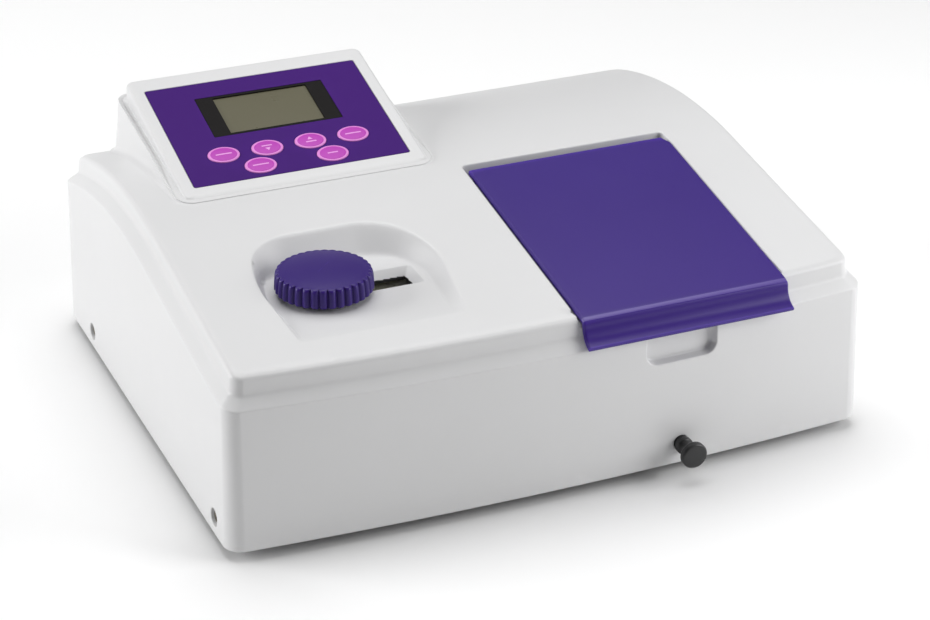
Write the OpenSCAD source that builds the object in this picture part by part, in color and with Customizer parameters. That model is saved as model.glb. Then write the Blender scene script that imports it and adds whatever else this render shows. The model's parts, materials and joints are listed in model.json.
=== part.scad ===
// Single-beam visible-light spectrophotometer for the bench: one moulded cover with a keypad
// console, a wavelength knob in a dished recess, a hinged sample lid and a four-cell changer.
// Case coordinates: x from the left side, y from the front corners, z from the cover's lower rim.

/* [Case] */
// Width of the case at its lower rim
body_w = 450; // [446:1:460]
// Depth of the case from its front corners to its back
body_d = 367; // [364:1:372]
// How far the front bows out past its corners
front_bow = 9; // [6:0.5:12]
// Thickness of the moulded cover
wall = 3; // [2.5:0.25:3.5]
// Draft of the side walls, degrees
draft = 1.5; // [0.5:0.25:2]
// Slope of the front part of the top, degrees
slope = 9; // [8.5:0.25:9.5]
// Height of the top's crest above the rim
crest_z = 146.5; // [146:0.5:148]
// Height of the rubber feet
foot_h = 8; // [6:1:12]

/* [Console] */
// Width of the display bezel
bezel_w = 175; // [172:1:178]
// Tilt of the keypad panel, degrees
panel_tilt = 14.5; // [14:0.25:15]
// Size of the keypad panel along the bezel and up the slope
panel_size = [155, 113]; // [150:1:160]
// Size of one oval key
key_size = [22.4, 16.8]; // [14:0.2:24]
// Travel of a key
key_travel = 0.5; // [0.3:0.1:0.6]

/* [Controls] */
// Radius of the wavelength knob
knob_r = 32.6; // [31:0.2:33]
// Number of flutes round the knob
knob_flutes = 34; // [24:1:40]
// Teeth on the knob's pinion, a third of the dial wheel's
pinion_teeth = 28; // [28:1:28]
// Travel of the cell changer from the first cell to the last
changer_travel = 60; // [60:1:60]

/* [Hidden] */
$fn = 96;
eps = 0.01;

// Cover outline and top surface
front_y = -172;                 // the front corners in the part's own frame
front_end = -28;                // front of the changer's knob
back_end = 372;                 // back of the fuse holder
corner_r = 14;
bow_r = (body_w / 2) * (body_w / 2) / (2 * front_bow) + front_bow / 2;
crest_r = 380;
crest_y = 230;
tangent_y = crest_y - crest_r * sin(slope);
tangent_z = crest_z - crest_r + crest_r * cos(slope);
ledge_drop = 18.5;              // the side ledge lies this far below the top
ledge_in = 8;                   // and is this wide
plateau_in = ledge_in + 2.5;    // the top's edge, in from the lower rim

// Console
hood_x = [36.6, 227.4];
hood_y = [194, 356];
hood_top = [[194, 145.3], [347, 169.8]];
panel_x = 132;
panel_y = 338;
panel_z = 182.3;
bezel_y = [-143, 0.5];          // along the panel's slope
panel_y0 = -127.6;              // lower edge of the keypad overlay
window_size = [93.7, 45.9];
window_y = -54.8;
glass_size = [69.2, 43.4];
key_rows = [[-98.2, [-47.3, -16, 15.3, 46.6]], [-115.6, [-26.7, 25.3]]];
key_places = [for (row = key_rows, x = row[1]) [x, row[0]]];
skin = 0.5;                     // thickness of the keypad overlay
face = 2;                       // thickness of the bezel's face, with its pocket

// Knob recess and drive
floor_z = 120;
knob = [100, 91];
knob_z = floor_z + 2;
knob_h = 15.4;
slot_x = [130, 160];
slot_y = [85.5, 102.5];
well_x = [124, 166];
well_y = [81, 108];
well_z = 115;
gear_m = 1;
dial_teeth = 3 * pinion_teeth;
dial_gap = gear_m * (pinion_teeth + dial_teeth) / 2;
dial = [knob[0] + 52, knob[1] - sqrt(dial_gap * dial_gap - 52 * 52)];
sector_m = 0.9;
arbor_teeth = 10;
sector_teeth = 100;
sector_gap = sector_m * (arbor_teeth + sector_teeth) / 2;
grating_at = [dial[0] + sector_gap * cos(75), dial[1] + sector_gap * sin(75)];
gear_z = 100;
sector_z = 50;

// Sample side
lid_x = [238.4, 386, 390];      // left edge, right edge in front, right edge behind
lid_front = -1.5;
lid_back = 181;
lid_t = 3;
lid_proud = 1;
shelf_drop = 4.5;
lid_gap = 0.8;
trough_y = [168, 190.8];
trough_z = 126;
hinge = [177, 136];
hinge_x = [251, 262, 365, 376]; // the lid's two lugs
open_x = [250, 378];
open_y = [14, 160];
box_x = [244, 384];
box_y = [10, 164];
beam = [92, 32];                // the light beam's y and z
rod_x = 309.5;
rod_z = 14.3;
cell_pitch = changer_travel / 3;

function top_z(y) = y < tangent_y ? tangent_z - (tangent_y - y) * tan(slope)
  : crest_z - crest_r + sqrt(crest_r * crest_r - (y - crest_y) * (y - crest_y));
function bow_y(x, inset = 0) = bow_r - front_bow
  - sqrt((bow_r - inset) * (bow_r - inset) - (x - body_w / 2) * (x - body_w / 2));

module case_frame() translate([-body_w / 2, front_y, foot_h]) children();

// A block between two corners
module block(a, b) translate(a) cube(b - a);

// A (y, z) outline drawn out along x
module along_x(x0, x1) translate([x0, 0, 0]) rotate([90, 0, 90]) linear_extrude(x1 - x0) children();

// The case's plan: straight sides and back, a bowed front, round corners
module plan(inset, r) {
  corner_y = bow_y(inset + r, inset);
  union() {
    translate([inset + r, corner_y])
      square([body_w - 2 * (inset + r), body_d - inset - corner_y]);
    translate([inset, corner_y + r])
      square([body_w - 2 * inset, body_d - inset - corner_y - 2 * r]);
    for (x = [inset + r, body_w - inset - r], y = [corner_y + r, body_d - inset - r])
      translate([x, y]) circle(r);
    intersection() {
      translate([body_w / 2, bow_r - front_bow]) circle(bow_r - inset, $fn = 720);
      translate([inset + r, -front_bow - 1])
        square([body_w - 2 * (inset + r), corner_y + front_bow + 2]);
    }
  }
}

// Everything within the drafted walls
module drafted(inset, r) {
  h = 200;
  lean = h * tan(draft);
  intersection() {
    translate([0, 0, -1]) linear_extrude(h) plan(inset, r);
    translate([0, body_d + 20, 0]) rotate([90, 0, 0]) linear_extrude(body_d + 60)
      polygon([[inset, -1], [inset + lean, h - 1], [body_w - inset - lean, h - 1],
        [body_w - inset, -1]]);
    along_x(-1, body_w + 1)
      polygon([[-40, -1], [body_d - inset, -1], [body_d - inset - lean, h], [-40, h]]);
    translate([body_w / 2, bow_r - front_bow, -1])
      cylinder(r1 = bow_r - inset, r2 = bow_r - inset - lean, h = h, $fn = 720);
  }
}

// Everything under the sloping and crowned top, lowered by drop
module under_top(drop) along_x(-20, body_w + 20) {
  polygon([[-30, -5], [tangent_y, -5], [tangent_y, tangent_z - drop],
    [-30, top_z(-30) - drop]]);
  intersection() {
    translate([crest_y, crest_z - crest_r - drop]) circle(crest_r, $fn = 360);
    translate([tangent_y - eps, -5]) square([body_d + 20 - tangent_y, 300]);
  }
}

module hood_solid(inset) {
  x0 = hood_x[0] + inset;
  x1 = hood_x[1] - inset;
  intersection() {
    translate([0, hood_y[1] - inset, 0]) rotate([90, 0, 0])
      linear_extrude(hood_y[1] - hood_y[0] - 2 * inset)
        polygon([[x0, 118], [x0 + 6, 176], [x1 - 6, 176], [x1, 118]]);
    along_x(hood_x[0], hood_x[1])
      polygon([[hood_y[0] + inset, 118], [hood_y[0] + inset, hood_top[0][1] - inset],
        [hood_top[1][0] - inset, hood_top[1][1] - inset], [hood_y[1] - inset, 118]]);
  }
}

// The knob recess: level floor, steep left wall, broad slopes behind and to the right
module recess(grow) hull() {
  for (p = [[80, 40], [74, 112], [156, 112], [158, 40]])
    translate([p[0], p[1], floor_z - grow]) cylinder(r = 14 + grow, h = 0.1, $fn = 32);
  for (p = [[72, 20], [80, 128], [162, 130], [176, 20]])
    translate([p[0], p[1], 150]) cylinder(r = 24 + grow, h = 0.1, $fn = 32);
}

// Bevelled well round the dial's slot
module dial_well() intersection() {
  translate([0, 140, 0]) rotate([90, 0, 0]) linear_extrude(80)
    polygon([[well_x[0], floor_z + 1], [slot_x[0], well_z], [slot_x[1], well_z],
      [well_x[1], floor_z + 1]]);
  along_x(100, 190) polygon([[well_y[0], floor_z + 1], [slot_y[0], well_z],
    [slot_y[1], well_z], [well_y[1], floor_z + 1]]);
}

module lid_plan(gap, y0, y1) polygon([[lid_x[0] - gap, y0], [lid_x[1] + gap, y0],
  [lid_x[2] + gap, y1], [lid_x[0] - gap, y1]]);

module top_cover() color("whitesmoke") case_frame() difference() {
  union() {
    difference() {
      union() {
        intersection() { drafted(0, corner_r); under_top(ledge_drop); }
        intersection() { drafted(ledge_in, corner_r - 5); under_top(0); }
        hood_solid(0);
      }
      translate([0, 0, -2]) intersection() {
        drafted(wall, corner_r - wall);
        under_top(ledge_drop + wall - 2);
      }
      intersection() {
        drafted(ledge_in + wall, corner_r - 5 - wall);
        under_top(wall);
      }
      hood_solid(wall);
    }
    // recess pan, lid shelf, hinge trough and screw bosses
    intersection() {
      drafted(ledge_in + 1, corner_r - 5);
      under_top(0);
      union() {
        difference() {
          recess(wall);
          translate([0, 0, 100]) cube([body_w, 60, 8]);
        }
        block([well_x[0] - 2, well_y[0] - 2, well_z - 2], [well_x[1] + 2, well_y[1] + 2, 121]);
        translate([0, 0, -shelf_drop]) difference() {
          linear_extrude(200) lid_plan(wall + 1, -20, trough_y[1] + wall);
          under_top(wall);
        }
        block([lid_x[0] - 1 - wall, trough_y[0] - wall, trough_z - wall],
          [lid_x[2] + 1 + wall, trough_y[1] + wall, 160]);
      }
    }
    for (x = [2.5, body_w - 12.5], y = [28.7, 303.9])
      block([x, y - 8, 3.5], [x + 10, y + 8, 19]);
    // shallow boxed finger notch in the front wall
    block([279, -4, 70], [338, 3.5, 97]);
  }
  recess(0);
  dial_well();
  block([slot_x[0], slot_y[0], 100], [slot_x[1], slot_y[1], 130]);
  translate([knob[0], knob[1], 100]) cylinder(d = 12, h = 30);
  // lid pocket, compartment opening and hinge trough
  difference() {
    translate([0, 0, 60]) linear_extrude(140) lid_plan(lid_gap, -30, trough_y[1]);
    under_top(shelf_drop);
  }
  block([open_x[0], open_y[0], 60], [open_x[1], open_y[1], 160]);
  block([lid_x[0] - lid_gap, trough_y[0], trough_z], [lid_x[2], trough_y[1], 160]);
  // console opening behind the bezel
  block([58, 210, 100], [206, 324, 200]);
  // finger notch, changer hole, screw counterbores, rear window and vents
  hull() for (x = [292, 326], z = [83, 110])
    translate([x, -16, z]) rotate([-90, 0, 0]) cylinder(r = 8.4, h = 16.5, $fn = 32);
  translate([rod_x, -20, rod_z]) rotate([-90, 0, 0]) cylinder(d = 10, h = 40);
  for (x = [-1, body_w + 1], y = [28.7, 303.9]) translate([x, y, 11])
    rotate([0, x < 0 ? 90 : -90, 0]) { cylinder(d = 12, h = 5.5); cylinder(d = 4.4, h = 30); }
  block([236, 340, 14], [424, 380, 84]);
  for (i = [0:9]) block([60 + 14 * i, 340, 20], [66 + 14 * i, 380, 70]);
  hinge_bore(2.01);
}

module hinge_bore(r) translate([230, hinge[0], hinge[1]]) rotate([0, 90, 0]) cylinder(r = r, h = 170);

module base_plate() color("silver") case_frame() difference() {
  union() {
    block([13, 8, 0], [body_w - 13, 357, 2]);
    for (x = [13, body_w - 14.5]) block([x, 10, 0], [x + 1.5, 355, 20]);
  }
  for (y = [28.7, 303.9]) translate([-5, y, 11]) rotate([0, 90, 0]) cylinder(d = 4.4, h = 480);
  for (x = [45, body_w - 45], y = [40, 325]) translate([x, y, -1]) cylinder(d = 6, h = 5);
  for (i = [0:7]) block([180 + 12 * i, 215, -1], [185 + 12 * i, 255, 5]);
}

module rubber_feet() color("dimgray") case_frame()
  for (x = [45, body_w - 45], y = [40, 325]) translate([x, y, -foot_h]) {
    cylinder(d1 = 22, d2 = 25, h = foot_h);
    cylinder(d = 5.9, h = foot_h + 2);
    translate([0, 0, foot_h + 2]) cylinder(d = 9, h = 2);
  }

module cover_screws() color("tan") case_frame()
  for (side = [0, 1], y = [28.7, 303.9])
    translate([side * body_w, y, 11]) mirror([side, 0, 0]) rotate([0, 90, 0]) difference() {
      union() {
        translate([0, 0, 2]) cylinder(d = 8, h = 2.4);
        translate([0, 0, 4.4]) cylinder(d = 4, h = 12);
      }
      translate([-5, -0.6, 1]) cube([10, 1.2, 2.2]);
    }

// Console parts, in the panel's own frame: x across, y up the slope, z out of it
module panel_frame() case_frame() translate([panel_x, panel_y, panel_z]) rotate([panel_tilt, 0, 0])
  children();
module oval(w, h) polygon([for (a = [0:7.5:352.5]) [w / 2 * cos(a), h / 2 * sin(a)]]);
module plate(w, y0, y1, z0, z1, r = 1) translate([0, 0, z0]) linear_extrude(z1 - z0) {
  translate([-w / 2 + r, y0]) square([w - 2 * r, y1 - y0]);
  translate([-w / 2, y0 + r]) square([w, y1 - y0 - 2 * r]);
  for (x = [-w / 2 + r, w / 2 - r], y = [y0 + r, y1 - r]) translate([x, y]) circle(r);
}
module window_plate(size, gap, z0, z1) plate(size[0] + 2 * gap, window_y - size[1] / 2 - gap,
  window_y + size[1] / 2 + gap, z0, z1);
module at_keys() for (p = key_places) translate([p[0], p[1], 0]) children();

module display_bezel() color("white") difference() {
  intersection() {
    panel_frame() plate(bezel_w, bezel_y[0], bezel_y[1], -40, 0, 6);
    case_frame() along_x(20, 250) polygon([[hood_top[0][0], hood_top[0][1] + eps],
      hood_top[1] + [0, eps], [hood_top[1][0], 220], [hood_top[0][0], 220]]);
  }
  panel_frame() {
    plate(panel_size[0] + 0.4, panel_y0 - 0.2, panel_y0 + panel_size[1] + 0.2, -skin, 1, 0.5);
    plate(142, panel_y0 + 2, -18, -60, -face, 2);
    window_plate(window_size, 0.2, -10, 1);
    at_keys() translate([0, 0, -10]) linear_extrude(12) oval(key_size[0] + 0.6, key_size[1] + 0.6);
  }
}

module keypad_overlay() color("indigo") panel_frame() difference() {
  plate(panel_size[0], panel_y0, panel_y0 + panel_size[1], -skin, 0, 0.5);
  window_plate(window_size, 0.2, -5, 1);
  at_keys() translate([0, 0, -5]) linear_extrude(7) oval(key_size[0] + 0.6, key_size[1] + 0.6);
}

module display_window() color("gray", 0.4) panel_frame() window_plate(window_size, 0, -face, -0.1);
module lcd_frame() color("black") panel_frame() difference() {
  window_plate([95, 50], 0, -7.2, -2.1);
  window_plate(glass_size, 0, -4.2, 0);
}
module lcd_glass() color("darkolivegreen") panel_frame() window_plate(glass_size, -0.1, -4.2, -2.6);

module key(i) color("orchid") panel_frame() translate([key_places[i][0], key_places[i][1], 0]) {
  translate([0, 0, -2.1]) linear_extrude(2.7) oval(key_size[0], key_size[1]);
  translate([0, 0, -3.1]) linear_extrude(1) oval(key_size[0] + 2, key_size[1] + 0.4);
}
module key_1() key(0);
module key_2() key(1);
module key_3() key(2);
module key_4() key(3);
module key_5() key(4);
module key_6() key(5);

module keypad_board() color("darkgreen") panel_frame() plate(138, -126, -22, -8.9, -7.3);
module key_switches() color("dimgray") panel_frame() at_keys() {
  translate([-3, -3, -7.3]) cube([6, 6, 2.5]);
  translate([0, 0, -4.8]) cylinder(d = 3.4, h = 1);
}
module ribbon_cable() color("lightgray") case_frame() block([95, 262, 13.6], [120, 263, 153.4]);

// Wavelength drive, all on upright axes
module gear2d(teeth, m, phase) {
  root = m * teeth / 2 - 1.2 * m;
  pitch_angle = 360 / teeth;
  circle(root + 0.05);
  for (i = [0:teeth - 1]) rotate(phase + i * pitch_angle)
    polygon([[root - 0.3, -0.7 * m], [root + 2 * m, -0.3 * m], [root + 2 * m, 0.3 * m],
      [root - 0.3, 0.7 * m]]);
}
mesh_angle = atan2(dial[1] - knob[1], dial[0] - knob[0]);

module wavelength_knob() color("darkslateblue") case_frame() translate([knob[0], knob[1], knob_z])
  difference() {
    union() {
      linear_extrude(knob_h - 2) difference() {
        circle(knob_r);
        for (i = [0:knob_flutes - 1]) rotate(i * 360 / knob_flutes) translate([knob_r + 1.6, 0])
          circle(2.6, $fn = 24);
      }
      translate([0, 0, knob_h - 2]) cylinder(r1 = knob_r - 1.2, r2 = knob_r - 3.2, h = 2);
      intersection() {
        translate([0, 0, knob_h - 2]) cylinder(r = knob_r - 3.2, h = 10);
        translate([0, 0, knob_h + 3 - 150]) sphere(150, $fn = 200);
      }
    }
    translate([0, 0, -1]) cylinder(r = knob_r - 6, h = knob_h - 5);
    translate([0, 0, -1]) cylinder(d = 6.04, h = knob_h - 2);
  }
module knob_shaft() color("lightgray") case_frame() translate([knob[0], knob[1], 0]) {
  translate([0, 0, 90]) cylinder(d = 6, h = 44);
  translate([0, 0, gear_z]) linear_extrude(5) gear2d(pinion_teeth, gear_m, mesh_angle);
  translate([0, 0, 124]) cylinder(d = 14, h = 7.3);
}
module knob_bushing() color("goldenrod") case_frame() translate([knob[0], knob[1], 0]) difference() {
  union() {
    translate([0, 0, 110]) cylinder(d = 11.9, h = 12);
    translate([0, 0, 113.4]) cylinder(d = 18, h = 3.4, $fn = 6);
    translate([0, 0, floor_z + 0.1]) cylinder(d = 17, h = 1.6);
  }
  translate([0, 0, 100]) cylinder(d = 6.1, h = 30);
}
module dial_window() color("lightcyan", 0.5) case_frame()
  block([slot_x[0] - 2, slot_y[0] - 2, 111], [slot_x[1] + 2, slot_y[1] + 2, 112.9]);
module dial_disc() color("beige") case_frame() translate([dial[0], dial[1], 107]) difference() {
  cylinder(r = 41, h = 1.5);
  translate([0, 0, -1]) cylinder(d = 6.02, h = 4);
}
module dial_gear() color("goldenrod") case_frame() translate([dial[0], dial[1], 0]) difference() {
  union() {
    translate([0, 0, gear_z]) linear_extrude(5) gear2d(dial_teeth, gear_m,
      mesh_angle + 180 + 180 / dial_teeth);
    translate([0, 0, gear_z + 5]) cylinder(d = 20, h = 2);
  }
  translate([0, 0, 90]) cylinder(d = 6.02, h = 30);
  for (a = [0:60:300]) rotate(a) translate([26, 0, 90]) cylinder(r = 8, h = 30);
}
module dial_arbor() color("lightgray") case_frame() translate([dial[0], dial[1], 0]) {
  translate([0, 0, sector_z]) cylinder(d = 6, h = 60.5);
  translate([0, 0, sector_z]) linear_extrude(5) gear2d(arbor_teeth, sector_m, 75);
}
module drive_bridge() color("silver") case_frame() difference() {
  union() {
    block([80, 50, 93], [190, 108, 96]);
    for (x = [84, 186], y = [55, 103]) translate([x, y, 66]) cylinder(d = 8, h = 28);
  }
  for (p = [knob, dial]) translate([p[0], p[1], 60]) cylinder(d = 6.1, h = 60);
}

// Monochromator: the beam enters behind, folds to the mirrors on the left and leaves on the right
mono_x = [50, 228];
mono_y = [30, 188];
mono_z = [5, 62];
slit_in = [195, mono_y[1]];
module monochromator_box() color("dimgray") case_frame() difference() {
  block([mono_x[0], mono_y[0], 2], [mono_x[1], mono_y[1], mono_z[1]]);
  block([mono_x[0] + 4, mono_y[0] + 4, mono_z[0] + 3],
    [mono_x[1] - 4, mono_y[1] - 4, mono_z[1] + 1]);
  translate([mono_x[1] - 10, beam[0], beam[1]]) rotate([0, 90, 0]) cylinder(d = 10, h = 20);
  translate([slit_in[0], mono_y[1] + 5, beam[1]]) rotate([90, 0, 0]) cylinder(d = 10, h = 20);
  translate([grating_at[0], grating_at[1], 4]) cylinder(d = 6.1, h = 10);
}
module monochromator_lid() color("gray") case_frame() difference() {
  block([mono_x[0], mono_y[0], mono_z[1] + 0.05], [mono_x[1], mono_y[1], 66]);
  translate([dial[0], dial[1], 50]) cylinder(d = 6.1, h = 30);
  translate([grating_at[0], grating_at[1], 50]) cylinder(d = 6.1, h = 30);
}
module concave_mirrors() color("lightblue") case_frame() for (y = [92, 142]) difference() {
  translate([mono_x[0] + 4, y, beam[1]]) rotate([0, 90, 0]) cylinder(d = 40, h = 8);
  translate([mono_x[0] + 9 + 220, y, beam[1]]) sphere(220, $fn = 200);
}
module fold_mirror() color("lightblue") case_frame()
  translate([slit_in[0] + 2, 142 + 2, 8]) rotate(-45) block([-12, 0, 0], [12, 3, 40]);
module slit_plates() color("black") case_frame() {
  difference() {
    block([mono_x[1], beam[0] - 9, beam[1] - 9], [mono_x[1] + 1.5, beam[0] + 9, beam[1] + 9]);
    block([mono_x[1] - 1, beam[0] - 0.5, beam[1] - 4], [mono_x[1] + 3, beam[0] + 0.5, beam[1] + 4]);
  }
  difference() {
    block([slit_in[0] - 9, mono_y[1], beam[1] - 9], [slit_in[0] + 9, mono_y[1] + 1.5, beam[1] + 9]);
    block([slit_in[0] - 0.5, mono_y[1] - 1, beam[1] - 4],
      [slit_in[0] + 0.5, mono_y[1] + 3, beam[1] + 4]);
  }
}
module grating_sector() color("silver") case_frame() translate([grating_at[0], grating_at[1], 0]) {
  translate([0, 0, 5.2]) cylinder(d = 6, h = 60);
  translate([0, 0, sector_z]) linear_extrude(4) intersection() {
    gear2d(sector_teeth, sector_m, 75 + 180 / sector_teeth);
    polygon([[0, 0], [60 * cos(235), 60 * sin(235)], [70 * cos(255), 70 * sin(255)],
      [60 * cos(275), 60 * sin(275)]]);
  }
  translate([0, 0, sector_z]) cylinder(d = 14, h = 4);
}
module grating_holder() color("dimgray") case_frame() translate([grating_at[0], grating_at[1], 0])
  difference() {
    block([-8, -16, 16], [6, 16, 48]);
    translate([0, 0, 10]) cylinder(d = 6.04, h = 45);
  }
module grating() color("plum") case_frame() translate([grating_at[0], grating_at[1], 0])
  block([-14, -15, 17], [-8, 15, 47]);

module lamp_house() color("silver") case_frame() difference() {
  block([168, 196, 2], [226, 262, 78]);
  block([170, 198, 4], [224, 260, 90]);
  translate([slit_in[0], 200, beam[1]]) rotate([90, 0, 0]) cylinder(d = 14, h = 10);
  for (i = [0:4]) block([160, 204 + 11 * i, 14], [240, 208 + 11 * i, 62]);
}
module lamp() color("lightyellow", 0.6) case_frame() translate([slit_in[0], 225, 20]) {
  cylinder(d = 11, h = 28);
  translate([0, 0, 28]) sphere(5.5);
}
module lamp_socket() color("white") case_frame() translate([slit_in[0], 225, 4]) difference() {
  cylinder(d = 22, h = 20);
  translate([0, 0, 16]) cylinder(d = 11.4, h = 10);
}

// Sample compartment and changer
module compartment_box() color("black") case_frame() difference() {
  intersection() {
    block([box_x[0], box_y[0], 2], [box_x[1], box_y[1], 150]);
    under_top(shelf_drop + wall + 0.3);
  }
  block([box_x[0] + 3, box_y[0] + 3, 5], [box_x[1] - 3, box_y[1] - 3, 160]);
  translate([box_x[0] - 5, beam[0], beam[1]]) rotate([0, 90, 0]) cylinder(d = 10, h = 160);
  translate([rod_x, 0, rod_z]) rotate([-90, 0, 0]) cylinder(d = 8, h = 20);
}
rail_x = [284, 335];
module guide_rails() color("silver") case_frame() for (x = rail_x)
  translate([x, box_y[0] + 3, 12]) rotate([-90, 0, 0]) cylinder(d = 5, h = box_y[1] - box_y[0] - 6);
module cell_carriage() color("dimgray") case_frame() difference() {
  union() {
    block([276, 82, 7], [343, 160, 17.5]);
    block([rod_x - 14, 82, 17.5], [rod_x + 14, 160, 44]);
  }
  for (x = rail_x) translate([x, 70, 12]) rotate([-90, 0, 0]) cylinder(d = 5.1, h = 100);
  translate([rod_x, 70, rod_z]) rotate([-90, 0, 0]) cylinder(d = 6.04, h = 20);
  for (i = [0:3]) translate([rod_x, beam[0] + i * cell_pitch, 0]) {
    block([-6.4, -6.4, 19], [6.4, 6.4, 60]);
    translate([-20, 0, beam[1]]) rotate([0, 90, 0]) cylinder(d = 8, h = 40);
  }
}
module pull_rod() color("silver") case_frame() translate([rod_x, -24, rod_z]) rotate([-90, 0, 0])
  cylinder(d = 6, h = 114);
module rod_knob() color("black") case_frame() translate([rod_x, front_end, rod_z]) rotate([-90, 0, 0])
  difference() {
    rotate_extrude() difference() {
      union() { square([9, 5]); square([7.6, 19]); }
      translate([9.6, 12.2]) circle(5.2);
      translate([8.2, 14]) square([4, 8]);
    }
    translate([0, 0, 4]) cylinder(d = 6.04, h = 20);
  }
module rod_bush() color("gray") case_frame() translate([rod_x, 0, rod_z]) rotate([-90, 0, 0])
  difference() {
    union() {
      translate([0, 0, -8.4]) cylinder(d = 9.9, h = 6.4);
      translate([0, 0, -3.6]) cylinder(d = 14, h = 1.6);
    }
    translate([0, 0, -20]) cylinder(d = 6.1, h = 40);
  }

lip_c = [-16.5, top_z(lid_front) + lid_proud - 4.2];
module sample_lid() color("darkslateblue") case_frame() difference() {
  union() {
    intersection() {
      translate([0, 0, 90]) linear_extrude(80) difference() {
        lid_plan(0, -4.5, lid_back);
        translate([lid_x[2], lid_back - 8]) rotate(25) square([20, 40]);
      }
      along_x(230, 400) polygon([[-4.5, top_z(-4.5) + lid_proud - lid_t],
        [-4.5, lip_c[1] + 2], [lid_front, top_z(lid_front) + lid_proud],
        [lid_back, tangent_z + (lid_back - tangent_y) * tan(slope) + lid_proud],
        [lid_back, tangent_z + (lid_back - tangent_y) * tan(slope) + lid_proud - lid_t]]);
    }
    along_x(lid_x[0], lid_x[1]) difference() {
      intersection() {
        translate(lip_c) circle(14.5);
        translate([lip_c[0] + 2, lip_c[1] - 20]) square([20, 22]);
      }
      translate(lip_c) circle(12);
    }
    for (i = [0, 2]) {
      translate([hinge_x[i], hinge[0], hinge[1]]) rotate([0, 90, 0]) cylinder(r = 5, h = 11);
      block([hinge_x[i], hinge[0] - 3, hinge[1]],
        [hinge_x[i] + 11, hinge[0] + 2, top_z(hinge[0]) + lid_proud - 1]);
    }
  }
  hinge_bore(2.05);
}
module hinge_pins() color("silver") case_frame()
  for (x = [235, 367.4]) translate([x, hinge[0], hinge[1]]) rotate([0, 90, 0]) cylinder(r = 2, h = 26);
module lid_seal() color("black") case_frame() difference() {
  intersection() {
    difference() {
      block([open_x[0] - 6, 8, 80], [open_x[1] + 6, open_y[1] + 5, 160]);
      block([open_x[0] - 1, open_y[0] - 1, 70], [open_x[1] + 1, open_y[1] + 1, 170]);
    }
    under_top(lid_t - lid_proud + 0.1);
  }
  under_top(shelf_drop);
}

module detector_housing() color("black") case_frame() difference() {
  block([388, 70, 2], [428, 114, 56]);
  block([394, 74, 6], [424, 110, 60]);
  translate([380, beam[0], beam[1]]) rotate([0, 90, 0]) cylinder(d = 10, h = 20);
}
module photodiode() color("gold") case_frame() translate([396, beam[0], beam[1]]) rotate([0, 90, 0]) {
  cylinder(d = 14, h = 5);
  for (a = [0:120:240]) rotate(a) translate([3, 0, 5]) cylinder(d = 0.8, h = 4.95);
}
module detector_board() color("darkgreen") case_frame() block([406, 76, 10], [407.6, 108, 52]);

module transformer_core() color("slategray") case_frame() difference() {
  block([330, 230, 2], [396, 262, 58]);
  for (x = [341, 374]) block([x, 220, 13], [x + 11, 270, 47]);
}
module transformer_coil() color("peru") case_frame() difference() {
  block([342, 222, 14], [384, 270, 46]);
  block([351.9, 210, 13], [374.1, 280, 47]);
}
module board_standoffs() color("silver") case_frame() for (
    p = [[56, 212], [150, 212], [56, 338], [150, 338], [246, 212], [312, 212], [246, 326], [312, 326]])
  translate([p[0], p[1], 2]) cylinder(d = 6, h = 10, $fn = 6);
module main_board() color("darkgreen") case_frame() {
  block([50, 206, 12], [156, 344, 13.6]);
  for (x = [62, 100], y = [222, 290]) block([x, y, 13.6], [x + 22, y + 22, 16]);
}
module power_board() color("darkgreen") case_frame() {
  block([240, 206, 12], [318, 332, 13.6]);
  block([250, 290, 13.6], [308, 294, 46]);
}
module capacitors() color("navy") case_frame() for (x = [258, 284], y = [232, 262])
  translate([x, y, 13.6]) cylinder(d = 18, h = 32);

// Rear fittings
panel_back = 360;
module rear_panel() color("silver") case_frame() difference() {
  block([231, panel_back - 1.5, 2], [429, panel_back, 90]);
  block([262, 350, 31], [290.4, 370, 49]);
  block([318, 350, 31], [337.4, 370, 59.4]);
  translate([372, 350, 42]) rotate([-90, 0, 0]) cylinder(d = 12.6, h = 20);
}
module mains_inlet() color("black") case_frame() {
  difference() {
    union() {
      block([252, panel_back, 28], [300.4, panel_back + 3, 52]);
      block([262.2, panel_back - 20, 31.2], [290.2, panel_back + 1, 48.8]);
    }
    block([264, panel_back - 16, 33], [288.4, panel_back + 5, 47]);
  }
  for (p = [[269.2, 42], [276.2, 38], [283.2, 42]])
    block([p[0] - 1, panel_back - 16, p[1] - 2], [p[0] + 1, panel_back - 3, p[1] + 2]);
}
rocker_at = [327.7, 362, 45.2];
module switch_body() color("black") case_frame() difference() {
  union() {
    block([315.5, panel_back, 28.5], [339.9, panel_back + 1.5, 61.9]);
    block([318.2, panel_back - 18, 31.2], [337.2, panel_back + 1, 59.2]);
  }
  block([320.6, panel_back - 10, 33.4], [334.8, panel_back + 3, 57]);
  translate([310, rocker_at[1] - 2, rocker_at[2]]) rotate([0, 90, 0]) cylinder(d = 3.1, h = 40);
}
module power_rocker() color("firebrick") case_frame()
  translate([321, rocker_at[1] - 2, rocker_at[2]]) {
    rotate([8, 0, 0]) along_x(0, 13.4) polygon([[-4, -3.2], [2.5, -10.6], [5, -11], [3.2, 0],
      [5, 11], [2.5, 10.6], [-4, 3.2]]);
    translate([-2.6, 0, 0]) rotate([0, 90, 0]) cylinder(d = 3, h = 18.6);
  }
module fuse_holder() color("black") case_frame() translate([372, 0, 42]) rotate([-90, 0, 0]) {
  translate([0, 0, panel_back - 28]) cylinder(d = 12.4, h = 29);
  translate([0, 0, panel_back]) cylinder(d = 18, h = 3);
  translate([0, 0, panel_back]) cylinder(d = 13, h = back_end - panel_back);
}

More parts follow.
